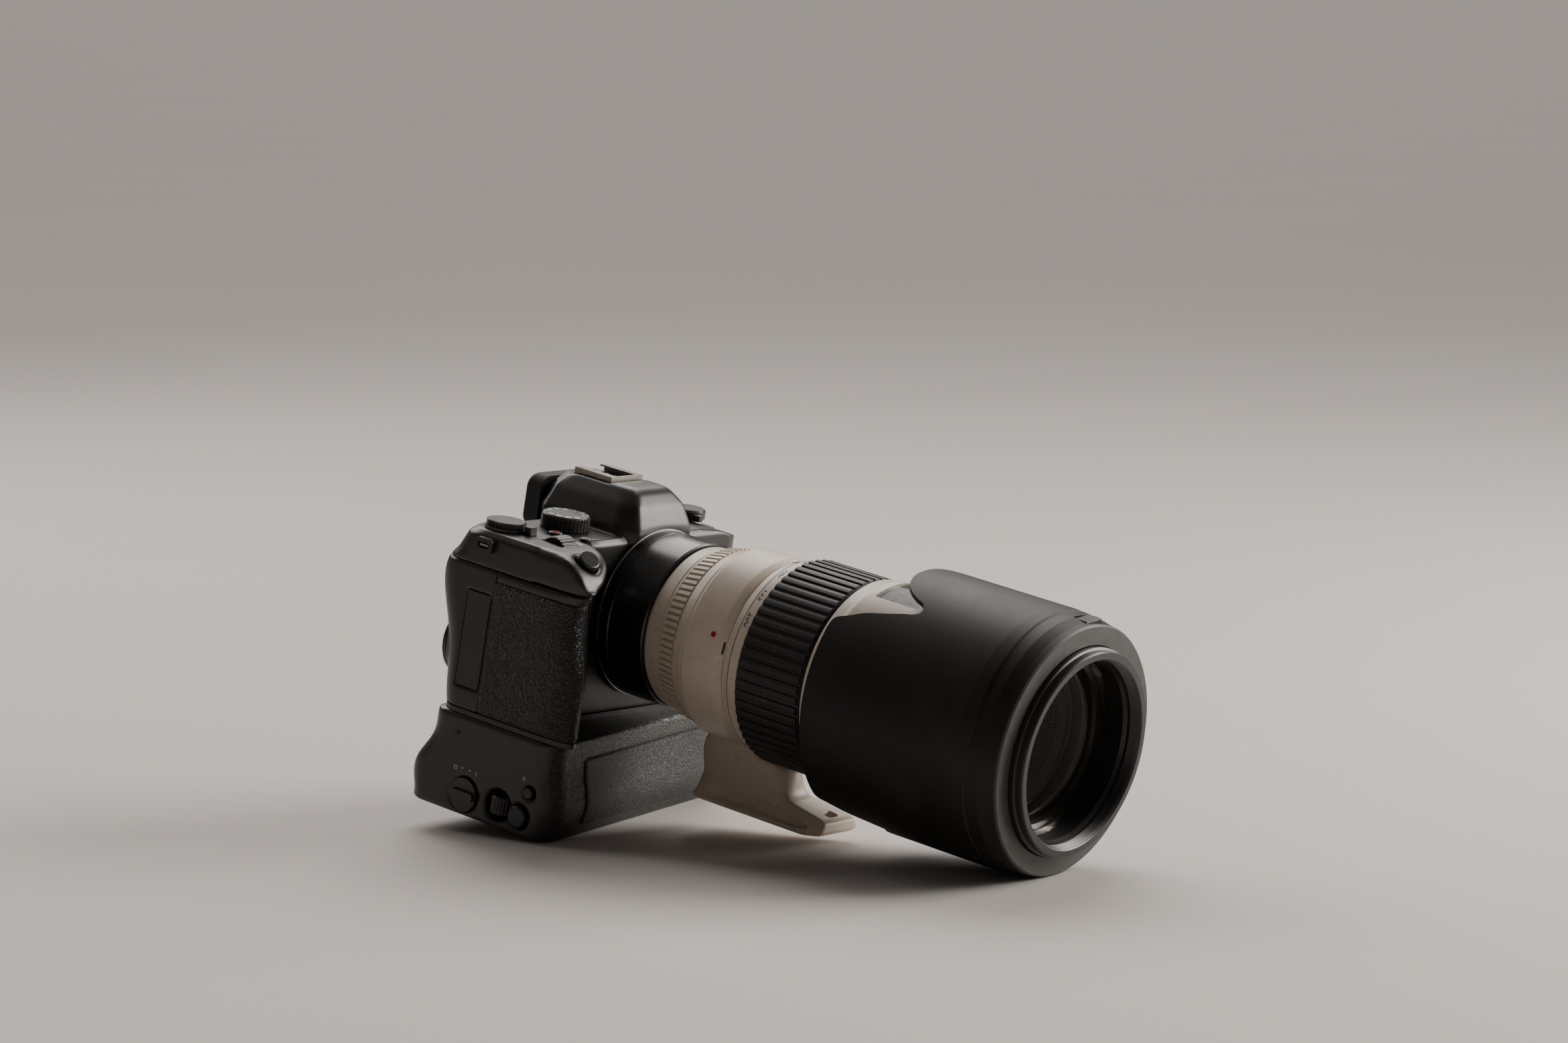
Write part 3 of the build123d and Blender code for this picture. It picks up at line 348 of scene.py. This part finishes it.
moulding = {
    # node: voxel in mm, rounds of smoothing, swelling in mm, then zones with further rounds
    "top_cover": (0.62, 6, 0.0, [(26, lambda p: p.z > 34.5 and p.y < 46), (24, lambda p: p.x < -44 and p.y < 4)]),
    "front_shell": (0.8, 6, 0.0, []),
    "rear_shell": (0.75, 4, 0.0, []),
    "vgrip_housing": (0.85, 10, 0.0, []),
    "tripod_collar": (0.55, 2, 0.0, [(70, lambda p: p.z < -38.5 and p.y > -92 and p.z > -64.5)]),
    "grip_rubber": (0.6, 6, 0.5, []),
    "vgrip_rubber": (0.6, 6, 0.55, []),
}


def camel(node, ending):
    first, *others = node.split("_")
    return first + "".join(word.capitalize() for word in others) + ending


# the sprung buttons that go down into each shell
pockets = {"top_cover": ["shutter_press", "mfn_press", "record_press", "menu_press"], "rear_shell": ["play_press"],
           "vgrip_housing": ["vgrip_shutter_press", "vgrip_mfn_press"]}
joints = {joint["name"]: joint for joint in frame["record"]["behaviour"]["joints"]}
pocketRoom = 0.3


def pocketCutter(joint):
    # the room a button sweeps as it goes down, a little larger all round
    travel = turnDown.inverted().to_3x3() @ Vector(joints[joint]["axis"]) * joints[joint]["range_m"][1] * 1000
    source = nodes[joints[joint]["child"]].data.copy()
    source.transform(squared)
    shape = bmesh.new()
    for vertex in source.vertices:
        for shift in (Vector(), travel):
            shape.verts.new(vertex.co + vertex.normal * pocketRoom + shift)
    hull = bmesh.ops.convex_hull(shape, input=shape.verts)
    inner = {item for item in hull["geom_interior"] + hull["geom_unused"] if isinstance(item, bmesh.types.BMVert)}
    bmesh.ops.delete(shape, geom=list(inner), context="VERTS")
    mesh = bpy.data.meshes.new(joint + "Room")
    shape.to_mesh(mesh)
    shape.free()
    thing = bpy.data.objects.new(joint + "Room", mesh)
    bpy.context.scene.collection.objects.link(thing)
    return thing


def pocketed(mesh, cuts):
    # opens the smoothed shell again where its buttons move
    thing = bpy.data.objects.new("pocketed", mesh)
    bpy.context.scene.collection.objects.link(thing)
    cutters = [pocketCutter(joint) for joint in cuts]
    for cutter in cutters:
        work = thing.modifiers.new(cutter.name, "BOOLEAN")
        work.operation, work.solver, work.object = "DIFFERENCE", "MANIFOLD", cutter
    mesh = settled(thing)
    for cutter in cutters:
        bpy.data.objects.remove(cutter)
    return mesh


def mouldedShell(node, voxel, rounds, swell, zones):
    # the CAD shell with the soft edges of a moulding
    mesh = nodes[node].data.copy()
    mesh.transform(squared)
    shape = bmesh.new()
    shape.from_mesh(mesh)
    bmesh.ops.remove_doubles(shape, verts=shape.verts, dist=1e-3)
    shape.to_mesh(mesh)
    shape.free()
    thing = bpy.data.objects.new(node + "Source", mesh)
    bpy.context.scene.collection.objects.link(thing)
    voxels = thing.modifiers.new("voxels", "REMESH")
    voxels.mode, voxels.voxel_size, voxels.use_smooth_shade = "VOXEL", voxel, True
    soft = thing.modifiers.new("soft", "SMOOTH")
    soft.factor, soft.iterations = 0.5, rounds
    if swell:
        fuller = thing.modifiers.new("fuller", "DISPLACE")
        fuller.strength, fuller.mid_level = swell, 0.0
    mesh = settled(thing)
    shape = bmesh.new()
    shape.from_mesh(mesh)
    for moreRounds, zone in zones:
        inZone = [vertex for vertex in shape.verts if zone(vertex.co)]
        for turn in range(moreRounds):
            bmesh.ops.smooth_vert(shape, verts=inZone, factor=0.5, use_axis_x=True, use_axis_y=True, use_axis_z=True)
    shape.to_mesh(mesh)
    shape.free()
    if node in pockets:
        mesh = pocketed(mesh, pockets[node])
    piece = settle(camel(node, "Moulded"), mesh, nodeBody[node], materialOf(node), 60.0)
    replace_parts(piece, node)
    print("moulded", node, len(piece.data.polygons))


for node, settings in moulding.items():
    mouldedShell(node, *settings)


def growTree(name, inputs, build):
    # a geometry tree with named number inputs, ending in one real mesh with its material set
    tree = bpy.data.node_groups.new(name, "GeometryNodeTree")
    tree.interface.new_socket("Geometry", in_out="INPUT", socket_type="NodeSocketGeometry")
    for label, value in inputs.items():
        kind = "NodeSocketInt" if isinstance(value, int) else "NodeSocketFloat"
        tree.interface.new_socket(label, in_out="INPUT", socket_type=kind).default_value = value
    tree.interface.new_socket("Material", in_out="INPUT", socket_type="NodeSocketMaterial")
    tree.interface.new_socket("Geometry", in_out="OUTPUT", socket_type="NodeSocketGeometry")
    given = tree.nodes.new("NodeGroupInput")
    start = Field(tree)
    ask = {socket.name: Field(tree, socket) for socket in given.outputs if socket.name}
    grown = build(start, ask)
    real = start.node("GeometryNodeRealizeInstances", {}, {"Geometry": grown})
    dressed = start.node("GeometryNodeSetMaterial", {}, {"Geometry": real, "Material": ask["Material"]})
    end = tree.nodes.new("NodeGroupOutput")
    tree.links.new(dressed.socket, end.inputs[0])
    return tree


def grown(tree, values, material):
    thing = bpy.data.objects.new(tree.name, bpy.data.meshes.new(tree.name))
    bpy.context.scene.collection.objects.link(thing)
    work = thing.modifiers.new("work", "NODES")
    work.node_group = tree
    for item in tree.interface.items_tree:
        if item.in_out == "INPUT" and item.name in values:
            work[item.identifier] = values[item.name]
        if item.in_out == "INPUT" and item.name == "Material":
            work[item.identifier] = finishes[material]
    return settled(thing)


def buildRibs(start, ask):
    # bars standing round a ring: each is a block whose outer face is narrower and shorter
    block = start.node("GeometryNodeMeshCube", {}, {"Size": start.node("ShaderNodeCombineXYZ", {}, {
        "X": ask["Tall"], "Y": ask["Wide"], "Z": ask["Long"]}), "Vertices Y": 4, "Vertices Z": 4})
    spot = start.node("GeometryNodeInputPosition")
    parts = {axis: start.node("ShaderNodeSeparateXYZ", {}, {0: spot}, out=axis) for axis in "XYZ"}
    outer = parts["X"].sums("GREATER_THAN", parts["X"], 0.0)
    crown = (1.0 - (parts["Y"].sums("ABSOLUTE", parts["Y"]) * 2.0).sums("DIVIDE", parts["Y"].sums(
        "ABSOLUTE", parts["Y"]) * 2.0, ask["Wide"]) ** 2.0)
    moved = start.node("ShaderNodeCombineXYZ", {}, {
        "X": parts["X"] + outer * crown * ask["Crown"] + parts["Z"] * ask["Lean"],
        "Y": parts["Y"] * (1.0 - outer * ask["Taper"]),
        "Z": parts["Z"] * (1.0 - outer * ask["End"])})
    shaped = start.node("GeometryNodeSetPosition", {}, {"Geometry": block, "Position": moved})
    ring = start.node("GeometryNodeMeshCircle", {}, {"Vertices": ask["Count"], "Radius": ask["Radius"]})
    facing = start.node("FunctionNodeAlignRotationToVector", {"axis": "X", "pivot_axis": "Z"},
                        {"Vector": start.node("GeometryNodeInputPosition")})
    return start.node("GeometryNodeInstanceOnPoints", {}, {"Points": ring, "Instance": shaped, "Rotation": facing})


def buildKnurl(start, ask):
    # rows of small pyramids round a rim, every other row half a step on
    rows = start.node("GeometryNodeMeshLine", {}, {"Count": ask["Rows"], "Offset": start.node(
        "ShaderNodeCombineXYZ", {}, {"Z": ask["Step"]})})
    ring = start.node("GeometryNodeMeshCircle", {}, {"Vertices": ask["Count"], "Radius": ask["Radius"]})
    index = start.node("GeometryNodeInputIndex")
    half = start.node("ShaderNodeCombineXYZ", {}, {"Z": index.sums("MODULO", index, 2.0) * math.pi * (
        index.sums("DIVIDE", 1.0, ask["Count"]))})
    rings = start.node("GeometryNodeRealizeInstances", {}, {"Geometry": start.node(
        "GeometryNodeInstanceOnPoints", {}, {"Points": rows, "Instance": ring, "Rotation": start.node(
            "FunctionNodeEulerToRotation", {}, {0: half})})})
    tooth = start.node("GeometryNodeMeshCone", {}, {"Vertices": 4, "Radius Top": 0.0, "Radius Bottom": ask["Tooth"],
                                                     "Depth": ask["Tall"]})
    outward = start.node("ShaderNodeVectorMath", {"operation": "MULTIPLY"}, {
        0: start.node("GeometryNodeInputPosition"), 1: (1, 1, 0)})
    facing = start.node("FunctionNodeAlignRotationToVector", {"axis": "Z", "pivot_axis": "AUTO"}, {"Vector": outward})
    return start.node("GeometryNodeInstanceOnPoints", {}, {"Points": rings, "Instance": tooth, "Rotation": facing})


ribTree = growTree("ribRing", {"Count": 60, "Radius": 40.0, "Long": 10.0, "Wide": 2.0, "Tall": 0.8, "Taper": 0.3,
                               "End": 0.1, "Crown": 0.0, "Lean": 0.0}, buildRibs)
knurlTree = growTree("knurlRim", {"Count": 60, "Rows": 6, "Radius": 10.0, "Step": 0.7, "Tooth": 0.5, "Tall": 0.5},
                     buildKnurl)

# a ring drawn about its own Z, stood round the lens: its Z becomes the way the lens points
roundLens = Matrix.Rotation(math.radians(90), 4, "X")


def ribRing(name, at, body, material, slot, look):
    mesh = grown(ribTree, look, material)
    mesh.transform(at)
    return settle(name, mesh, body, None, 30.0)


ribs = {
    "barrelRibs": {"Count": 84, "Radius": 36.45, "Long": 7.6, "Wide": 1.95, "Tall": 1.5, "Taper": 0.25, "End": 0.05,
                   "Lean": 0.17},
    "zoomRibs": {"Count": 60, "Radius": 42.55, "Long": 31.6, "Wide": 3.5, "Tall": 1.0, "Taper": 0.22, "End": 0.02,
                 "Crown": 0.22},
    "zoomDots": {"Count": 60, "Radius": 43.18, "Long": 0.7, "Wide": 1.5, "Tall": 0.1, "Taper": 0.1, "End": 0.1},
    "focusRibs": {"Count": 60, "Radius": 44.35, "Long": 32.6, "Wide": 3.6, "Tall": 1.0, "Taper": 0.22, "End": 0.02,
                  "Crown": 0.22},
}
# y of the ring's middle, body, finish and slot
ribPlaces = {
    "barrelRibs": (-38.0, "camera", "lensWhite", "lens_white"),
    "zoomRibs": (-95.4, "zoom_ring", "ringRubber", "lens_rubber"),
    "zoomDots": (-95.4, "zoom_ring", "markFaint", "lens_rubber"),
    "focusRibs": (-177.9, "focus_ring", "ringRubber", "lens_rubber"),
}
for ribName, (middle, *dress) in ribPlaces.items():
    ribRing(ribName, Matrix.Translation((0, middle, 0)) @ roundLens, *dress, ribs[ribName])

dials = {
    "modeKnurl": {"Count": 64, "Rows": 7, "Radius": 9.9, "Step": 0.72, "Tooth": 0.52, "Tall": 0.55},
    "rearKnurl": {"Count": 56, "Rows": 3, "Radius": 7.85, "Step": 0.62, "Tooth": 0.5, "Tall": 0.5},
}


def knurl(name, at, body, look):
    mesh = grown(knurlTree, look, "dialBlack")
    mesh.transform(at)
    return settle(name, mesh, body, None, 20.0)


knurl("modeKnurl", Matrix.Translation((-37.0, 23.6, 33.0 + 0.95)), "mode_dial", dials["modeKnurl"])
knurl("rearKnurl", Matrix.Translation((-66.5, 30.5, 33.0 + 2.15)), "rear_top_dial", dials["rearKnurl"])
print("ribs and knurls grown")


def lathe(name, profile, body, material, steps=128):
    # a closed (y, radius) outline spun round the lens axis
    shape = bmesh.new()
    loops = []
    for step in range(steps):
        angle = 2 * math.pi * step / steps
        loops.append([shape.verts.new((radius * math.sin(angle), y, radius * math.cos(angle)))
                      for y, radius in profile])
    for step in range(steps):
        here, there = loops[step], loops[(step + 1) % steps]
        for index in range(len(profile)):
            after = (index + 1) % len(profile)
            shape.faces.new((here[index], here[after], there[after], there[index]))
    bmesh.ops.remove_doubles(shape, verts=shape.verts, dist=1e-5)
    bmesh.ops.recalc_face_normals(shape, faces=shape.faces)
    mesh = bpy.data.meshes.new(name)
    shape.to_mesh(mesh)
    shape.free()
    return settle(name, mesh, body, material, 25.0)


lathe("mountRim", [(0.35, 35.0), (0.35, 35.95), (0.0, 36.1), (-0.45, 35.95), (-0.6, 35.4), (-0.6, 35.0)], "camera",
      "shoeSteel")
lathe("zoomLine", [(-73.9, 40.6), (-73.9, 41.06), (-74.15, 41.08), (-74.15, 40.6)], "zoom_ring", "markBlack")
# stepped black cells behind the front glass
lathe("frontCells", [(-200.9, 33.8), (-199.6, 33.0), (-196.2, 32.6), (-196.0, 31.8), (-191.6, 31.5), (-191.3, 30.6),
                     (-185.6, 30.3), (-185.2, 32.6), (-200.5, 33.9)], "camera", "barrelBlack")
# rings standing for the filter thread
thread = {"start": -217.2, "end": -221.7, "pitch": 0.65, "crest": 0.25, "turns": 7, "root": 38.45, "tip": 38.1,
          "back": 38.52}
threadCrests = []
for turn in range(thread["turns"]):
    start = thread["start"] - thread["pitch"] * turn
    threadCrests += [(start, thread["root"]), (start - thread["crest"], thread["tip"])]
lathe("filterThread", threadCrests + [(thread["end"], thread["root"]), (thread["end"], thread["back"]),
                                      (thread["start"], thread["back"])], "camera", "barrelBlack")
# the front glass with evenly rounded faces
glassSteps = [step / 24 for step in range(25)]
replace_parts(lathe("frontGlass", [(-213.6 + 5.6 * part ** 2, 36.7 * part) for part in glassSteps]
                  + [(-203.0 + 1.0 * part ** 2, 36.7 * part) for part in reversed(glassSteps)],
                  nodeBody["front_glass"], "frontCoating"), "front_glass")
# a domed glass behind it
dome = {"edge": -186.2, "rise": 6.0, "radius": 30.2, "back": -185.4, "steps": 14}
domeTurns = [math.pi / 2 * step / dome["steps"] for step in range(dome["steps"] + 1)]
lathe("innerLens", [(dome["edge"] - dome["rise"] * math.cos(turn), dome["radius"] * math.sin(turn))
                    for turn in domeTurns] + [(dome["back"], dome["radius"]), (dome["back"], 0.0)],
      "camera", "innerCoating")


def lettered(text, size, thick=0.06, bold=0.0):
    curve = bpy.data.curves.new("mark", "FONT")
    curve.body, curve.size, curve.align_x, curve.align_y, curve.extrude = text, size, "CENTER", "CENTER", thick
    curve.resolution_u, curve.offset = 3, bold
    thing = bpy.data.objects.new("mark", curve)
    bpy.context.scene.collection.objects.link(thing)
    return settled(thing)


def aroundLens(mesh, radius, y, angle):
    # wraps flat marks on a barrel: they read towards the grip side, with their tops to the lens's front
    for vertex in mesh.vertices:
        turn = angle + vertex.co.x / radius
        out = radius + vertex.co.z
        vertex.co = (-out * math.sin(turn), y - vertex.co.y, out * math.cos(turn))
    return mesh


def joined(meshes):
    shape = bmesh.new()
    for mesh in meshes:
        shape.from_mesh(mesh)
        bpy.data.meshes.remove(mesh)
    mesh = bpy.data.meshes.new("marks")
    shape.to_mesh(mesh)
    shape.free()
    return mesh


def bar(wide, high, thick=0.06):
    mesh = bpy.data.meshes.new("bar")
    shape = bmesh.new()
    bmesh.ops.create_cube(shape, size=1)
    bmesh.ops.scale(shape, vec=(wide, high, 2 * thick), verts=shape.verts)
    shape.to_mesh(mesh)
    shape.free()
    return mesh


def dot(radius, thick=0.06, sides=24):
    mesh = bpy.data.meshes.new("dot")
    shape = bmesh.new()
    bmesh.ops.create_cone(shape, cap_ends=True, segments=sides, radius1=radius, radius2=radius * 0.94,
                          depth=2 * thick)
    shape.to_mesh(mesh)
    shape.free()
    return mesh


def ringMark(radius, wide, thick=0.06, sides=32):
    mesh = bpy.data.meshes.new("ring")
    shape = bmesh.new()
    corners = ((radius, -thick), (radius, thick), (radius - wide, thick), (radius - wide, -thick))
    loops = [[shape.verts.new((r * math.cos(2 * math.pi * k / sides), r * math.sin(2 * math.pi * k / sides), z))
              for k in range(sides)] for r, z in corners]
    for index, here in enumerate(loops):
        there = loops[(index + 1) % len(loops)]
        for k in range(sides):
            after = (k + 1) % sides
            shape.faces.new((here[k], here[after], there[after], there[k]))
    bmesh.ops.recalc_face_normals(shape, faces=shape.faces)
    shape.to_mesh(mesh)
    shape.free()
    return mesh


zoomScale = {"200": 61.0, "135": 44.0, "100": 24.0, "70": 2.0}
settle("zoomNumbers", joined([aroundLens(lettered(text, 4.3), 41.17, -76.6, math.radians(angle))
                              for text, angle in zoomScale.items()]), "zoom_ring", "markBlack")
settle("zoomIndex", aroundLens(bar(0.45, 2.6), 39.66, -71.4, math.radians(2.0)), "camera", "markBlack")
settle("collarDot", aroundLens(dot(1.25, 0.12), 40.3, -62.4, math.radians(75.0)), "collar", "markRed")

# distance scale under its window: a black card with two rows of numbers
windowLook = {"back": -124.0, "front": -144.0, "half": 17.4, "cardRadius": 43.05, "markRadius": 43.16}


def scaleCard():
    mesh = bpy.data.meshes.new("card")
    shape = bmesh.new()
    bmesh.ops.create_grid(shape, x_segments=40, y_segments=2, size=0.5)
    size = (2 * windowLook["half"] + 0.2, windowLook["back"] - windowLook["front"], 1)
    bmesh.ops.scale(shape, vec=size, verts=shape.verts)
    shape.to_mesh(mesh)
    shape.free()
    return mesh


def scaleRow(numbers, size, y):
    return [aroundLens(lettered(text, size, 0.03), windowLook["markRadius"], y, math.radians(angle))
            for text, angle in numbers.items()]


windowMiddle = (windowLook["back"] + windowLook["front"]) / 2
settle("scaleCard", aroundLens(scaleCard(), windowLook["cardRadius"], windowMiddle, 0.0), "camera", "barrelBlack")
metres = {"1.5": 19, "2": 11, "3": 3, "5": -5, "10": -12}
feet = {"5": 19, "7": 11, "10": 3, "15": -5, "30": -12}
scaleLine = aroundLens(bar(26.0, 0.35, 0.03), windowLook["markRadius"], -134.2, 0.0)
settle("scaleWhite", joined(scaleRow(metres, 3.0, -130.4) + [scaleLine]), "camera", "markWhite")
settle("scaleGreen", joined(scaleRow(feet, 2.6, -138.2)), "camera", "markGreen")


def onPlane(mesh, spot, right, up):
    right, up = Vector(right).normalized(), Vector(up).normalized()
    out = right.cross(up)
    mesh.transform(Matrix.Translation(spot) @ Matrix((right, up, out)).transposed().to_4x4())
    return mesh


# mode dial's ring of marks: numbers, letters, plain signs and one green square
modeMarks = {"centre": (-37.0, 23.6, 39.44), "radius": 7.7, "first": 2.35,
             "signs": ["P", "A", "M", "B", "1", "2", "3", "-", "o", "S", "="]}


def onModeDial(mesh, turn):
    out = Vector((math.cos(turn), math.sin(turn), 0))
    return onPlane(mesh, Vector(modeMarks["centre"]) + out * modeMarks["radius"],
                   (math.sin(turn), -math.cos(turn), 0), out)


step = 2 * math.pi / (len(modeMarks["signs"]) + 1)
modeWhite = [onModeDial(lettered(sign, 3.4, 0.06, 0.12), modeMarks["first"] + step * (index + 1))
             for index, sign in enumerate(modeMarks["signs"])]
settle("modeSigns", joined(modeWhite), "mode_dial", "markWhite")
settle("modeGreen", onModeDial(bar(2.4, 2.4), modeMarks["first"]), "mode_dial", "markGreen")
settle("recordDot", onPlane(dot(1.5, 0.08), (-50.4, 17.0, 34.23), (1, 0, 0), (0, 1, 0)), "record_button", "markRed")

# battery grip's end: two dots and a line and ring by its lever
gripEnd = {"x": -78.86, "right": (0, -1, 0), "up": (0, 0, 1)}
gripPlaces = ((dot(0.35), 24.6, -66.4), (dot(0.35), 20.4, -66.4), (ringMark(0.9, 0.25), 28.2, -66.9),
              (bar(0.3, 1.8), 16.8, -66.9), (ringMark(0.7, 0.22), -8.4, -61.6))
settle("gripMarks", joined([onPlane(mesh, (gripEnd["x"], y, z), gripEnd["right"], gripEnd["up"])
                            for mesh, y, z in gripPlaces]), "camera", "markWhite")

# rear buttons' signs
rearSigns = [("menu_button", "=", 50.0, 42.4, 24.5), ("info_button", "i", 37.5, 42.4, 24.5),
             ("af_on_button", "o", -47.0, 45.2, 22.5), ("ae_lock_button", "*", -59.5, 51.0, 22.5),
             ("play_button", ">", -50.0, 43.8, -38.0)]
for body, sign, x, y, z in rearSigns:
    mark = onPlane(lettered(sign, 2.6, 0.05), (x, y + 0.03, z), (-1, 0, 0), (0, 0, 1))
    settle(body.replace("_button", "Sign").replace("_", ""), mark, body, "markWhite")

# steel bars inside the dark strap slots
strapBars = [onPlane(bar(4.6, 0.9, 0.5), (-79.6, 29.5, 27.4), (0, -1, 0), (0, 0, 1)),
             onPlane(bar(4.6, 0.9, 0.5), (61.2, 25.0, 24.0), (0, 1, 0), (0, 0, 1))]
settle("strapBars", joined(strapBars), "camera", "shoeSteel")
collarSlots = [aroundLens(bar(5.3, 1.0, 0.1), 39.1, -68.2, math.radians(angle)) for angle in (-2, 81, 172, 262)]
settle("collarSlots", joined(collarSlots), "collar", "markBlack")

# microphone holes
microphones = [onPlane(dot(0.55, 0.12, 16), spot, (1, 0, 0), (0, 0, 1))
               for spot in ((-27.5, 3.55, 27.0), (29.0, 2.55, 25.0))]
settle("microphoneHoles", joined(microphones), "camera", "markBlack")
print("marks set")


def buildScrews(start, ask):
    # a round head with a cross cut in it, standing on each point and turned to the point's facing
    head = start.node("GeometryNodeMeshCylinder", {}, {"Vertices": 20, "Radius": ask["Radius"], "Depth": ask["Tall"]})
    longSide, shortSide, deep = ask["Radius"] * 1.1, ask["Radius"] * 0.26, ask["Tall"] * 0.9
    raised = start.node("ShaderNodeCombineXYZ", {}, {"Z": ask["Tall"] * 0.4})
    cut = start.node("GeometryNodeMeshBoolean", {"operation": "DIFFERENCE", "solver": "EXACT"}, {"Mesh 1": head})
    for x, y in ((longSide, shortSide), (shortSide, longSide)):
        size = start.node("ShaderNodeCombineXYZ", {}, {"X": x, "Y": y, "Z": deep})
        arm = start.node("GeometryNodeMeshCube", {}, {"Size": size})
        lifted = start.node("GeometryNodeTransform", {}, {"Geometry": arm, "Translation": raised})
        start.tree.links.new(lifted.socket, cut.socket.node.inputs["Mesh 2"])
    facing = start.node("GeometryNodeInputNamedAttribute", {"data_type": "FLOAT_VECTOR"}, {"Name": "facing"})
    turned = start.node("FunctionNodeAlignRotationToVector", {"axis": "Z"}, {"Vector": facing})
    return start.node("GeometryNodeInstanceOnPoints", {}, {"Points": ask["Geometry"], "Instance": cut,
                                                           "Rotation": turned})


screwTree = growTree("screwHeads", {"Radius": 1.1, "Tall": 0.5}, buildScrews)
screws = {"size": (1.05, 0.5), "spots": [
    ((-79.0, 30.0, -52.5), (-1, 0, 0)), ((-30.0, 41.0, -60.0), (0, 1, 0)), ((30.0, 41.0, -60.0), (0, 1, 0)),
    ((50.0, 34.0, -86.2), (0, 0, -1)), ((50.0, 8.0, -86.2), (0, 0, -1)), ((-66.0, 40.0, -86.2), (0, 0, -1)),
    ((-60.0, -12.0, -86.2), (0, 0, -1)), ((0.0, 34.0, -86.2), (0, 0, -1)), ((52.0, 41.0, -40.5), (0, 1, 0)),
    ((59.95, 20.5, 15.0), (1, 0, 0)), ((59.95, 20.5, -38.0), (1, 0, 0))]}


def placeScrews():
    mesh = bpy.data.meshes.new("screwSpots")
    mesh.from_pydata([spot for spot, facing in screws["spots"]], [], [])
    facing = mesh.attributes.new("facing", "FLOAT_VECTOR", "POINT")
    facing.data.foreach_set("vector", [value for spot, way in screws["spots"] for value in way])
    thing = bpy.data.objects.new("screwSpots", mesh)
    bpy.context.scene.collection.objects.link(thing)
    work = thing.modifiers.new("work", "NODES")
    work.node_group = screwTree
    radius, tall = screws["size"]
    values = {"Radius": radius, "Tall": tall, "Material": finishes["screwSteel"]}
    for item in screwTree.interface.items_tree:
        if item.in_out == "INPUT" and item.name in values:
            work[item.identifier] = values[item.name]
    settle("screwHeads", settled(thing), "camera", None, 30.0)


placeScrews()
print("screws set")


def softPanel(name, spot, aim, size, power, colour):
    lamp = bpy.data.lights.new(name, "AREA")
    lamp.shape, lamp.size, lamp.size_y, lamp.energy, lamp.color = "RECTANGLE", size[0], size[1], power, colour
    thing = bpy.data.objects.new(name, lamp)
    bpy.context.scene.collection.objects.link(thing)
    facing = (Vector(spot) - Vector(aim)).to_track_quat("Z", "Y")
    thing.matrix_world = Matrix.Translation(spot) @ facing.to_matrix().to_4x4()


def paleFloor():
    mesh = bpy.data.meshes.new("floor")
    shape = bmesh.new()
    bmesh.ops.create_grid(shape, x_segments=1, y_segments=1, size=60)
    shape.to_mesh(mesh)
    shape.free()
    material = bpy.data.materials.new("floorPaper")
    material.use_nodes = True
    shader = material.node_tree.nodes["Principled BSDF"]
    start = Field(material.node_tree)
    place = start.node("ShaderNodeTexCoord", out="Object")
    cloud = start.node("ShaderNodeTexNoise", {}, {"Vector": place, "Scale": 3.0})
    colour = cloud.tint((0.58, 0.54, 0.51), (0.61, 0.57, 0.54))
    material.node_tree.links.new(colour.socket, shader.inputs["Base Color"])
    shader.inputs["Roughness"].default_value = 0.75
    mesh.materials.append(material)
    floor = bpy.data.objects.new("floor", mesh)
    bpy.context.scene.collection.objects.link(floor)


paleFloor()
# the room's light on things, and how bright the room itself is seen
roomLight = {"lighting": (0.088, 0.08, 0.076), "seen": (0.52, 0.475, 0.455)}
world = bpy.data.worlds.new("room")
world.use_nodes = True
start = Field(world.node_tree)
seen = start.node("ShaderNodeLightPath", out="Is Camera Ray")
roomColour = seen.tint(roomLight["lighting"], roomLight["seen"])
world.node_tree.links.new(roomColour.socket, world.node_tree.nodes["Background"].inputs["Color"])
bpy.context.scene.world = world


def skylight():
    lamp = bpy.data.lights.new("skylight", "SUN")
    lamp.energy, lamp.angle, lamp.color = 1.75, math.radians(40), (1.0, 0.95, 0.91)
    thing = bpy.data.objects.new("skylight", lamp)
    bpy.context.scene.collection.objects.link(thing)
    thing.matrix_world = Vector((0.75, 0.55, 1.0)).to_track_quat("Z", "Y").to_matrix().to_4x4()


skylight()
panels = {
    "windowPanel": ((1.25, -1.0, 0.7), (0, 0, 0.07), (1.1, 1.1), 46.0, (1.0, 0.96, 0.91)),
    "backPanel": ((0.3, 1.5, 1.1), (0, 0, 0.07), (1.4, 0.9), 14.0, (1.0, 0.96, 0.92)),
}
for name, row in panels.items():
    softPanel(name, *row)

view = {"spot": (-1.59354, -1.21125, 0.37634), "azimuth": -52.6916, "elevation": 6.9540, "roll": 0.4586,
        "lens": 113.87}


def placeCamera():
    lens = bpy.data.cameras.new("camera")
    lens.lens, lens.sensor_width, lens.clip_start, lens.clip_end = view["lens"], 36, 0.05, 50
    thing = bpy.data.objects.new("camera", lens)
    bpy.context.scene.collection.objects.link(thing)
    azimuth, elevation, roll = (math.radians(view[key]) for key in ("azimuth", "elevation", "roll"))
    back = Vector((math.sin(azimuth) * math.cos(elevation), -math.cos(azimuth) * math.cos(elevation),
                   math.sin(elevation)))
    level = Vector((math.cos(azimuth), math.sin(azimuth), 0))
    up = back.cross(level)
    right = level * math.cos(roll) + up * math.sin(roll)
    top = up * math.cos(roll) - level * math.sin(roll)
    thing.matrix_world = Matrix.Translation(view["spot"]) @ Matrix((right, top, back)).transposed().to_4x4()
    bpy.context.scene.camera = thing


placeCamera()
print("stage ready")
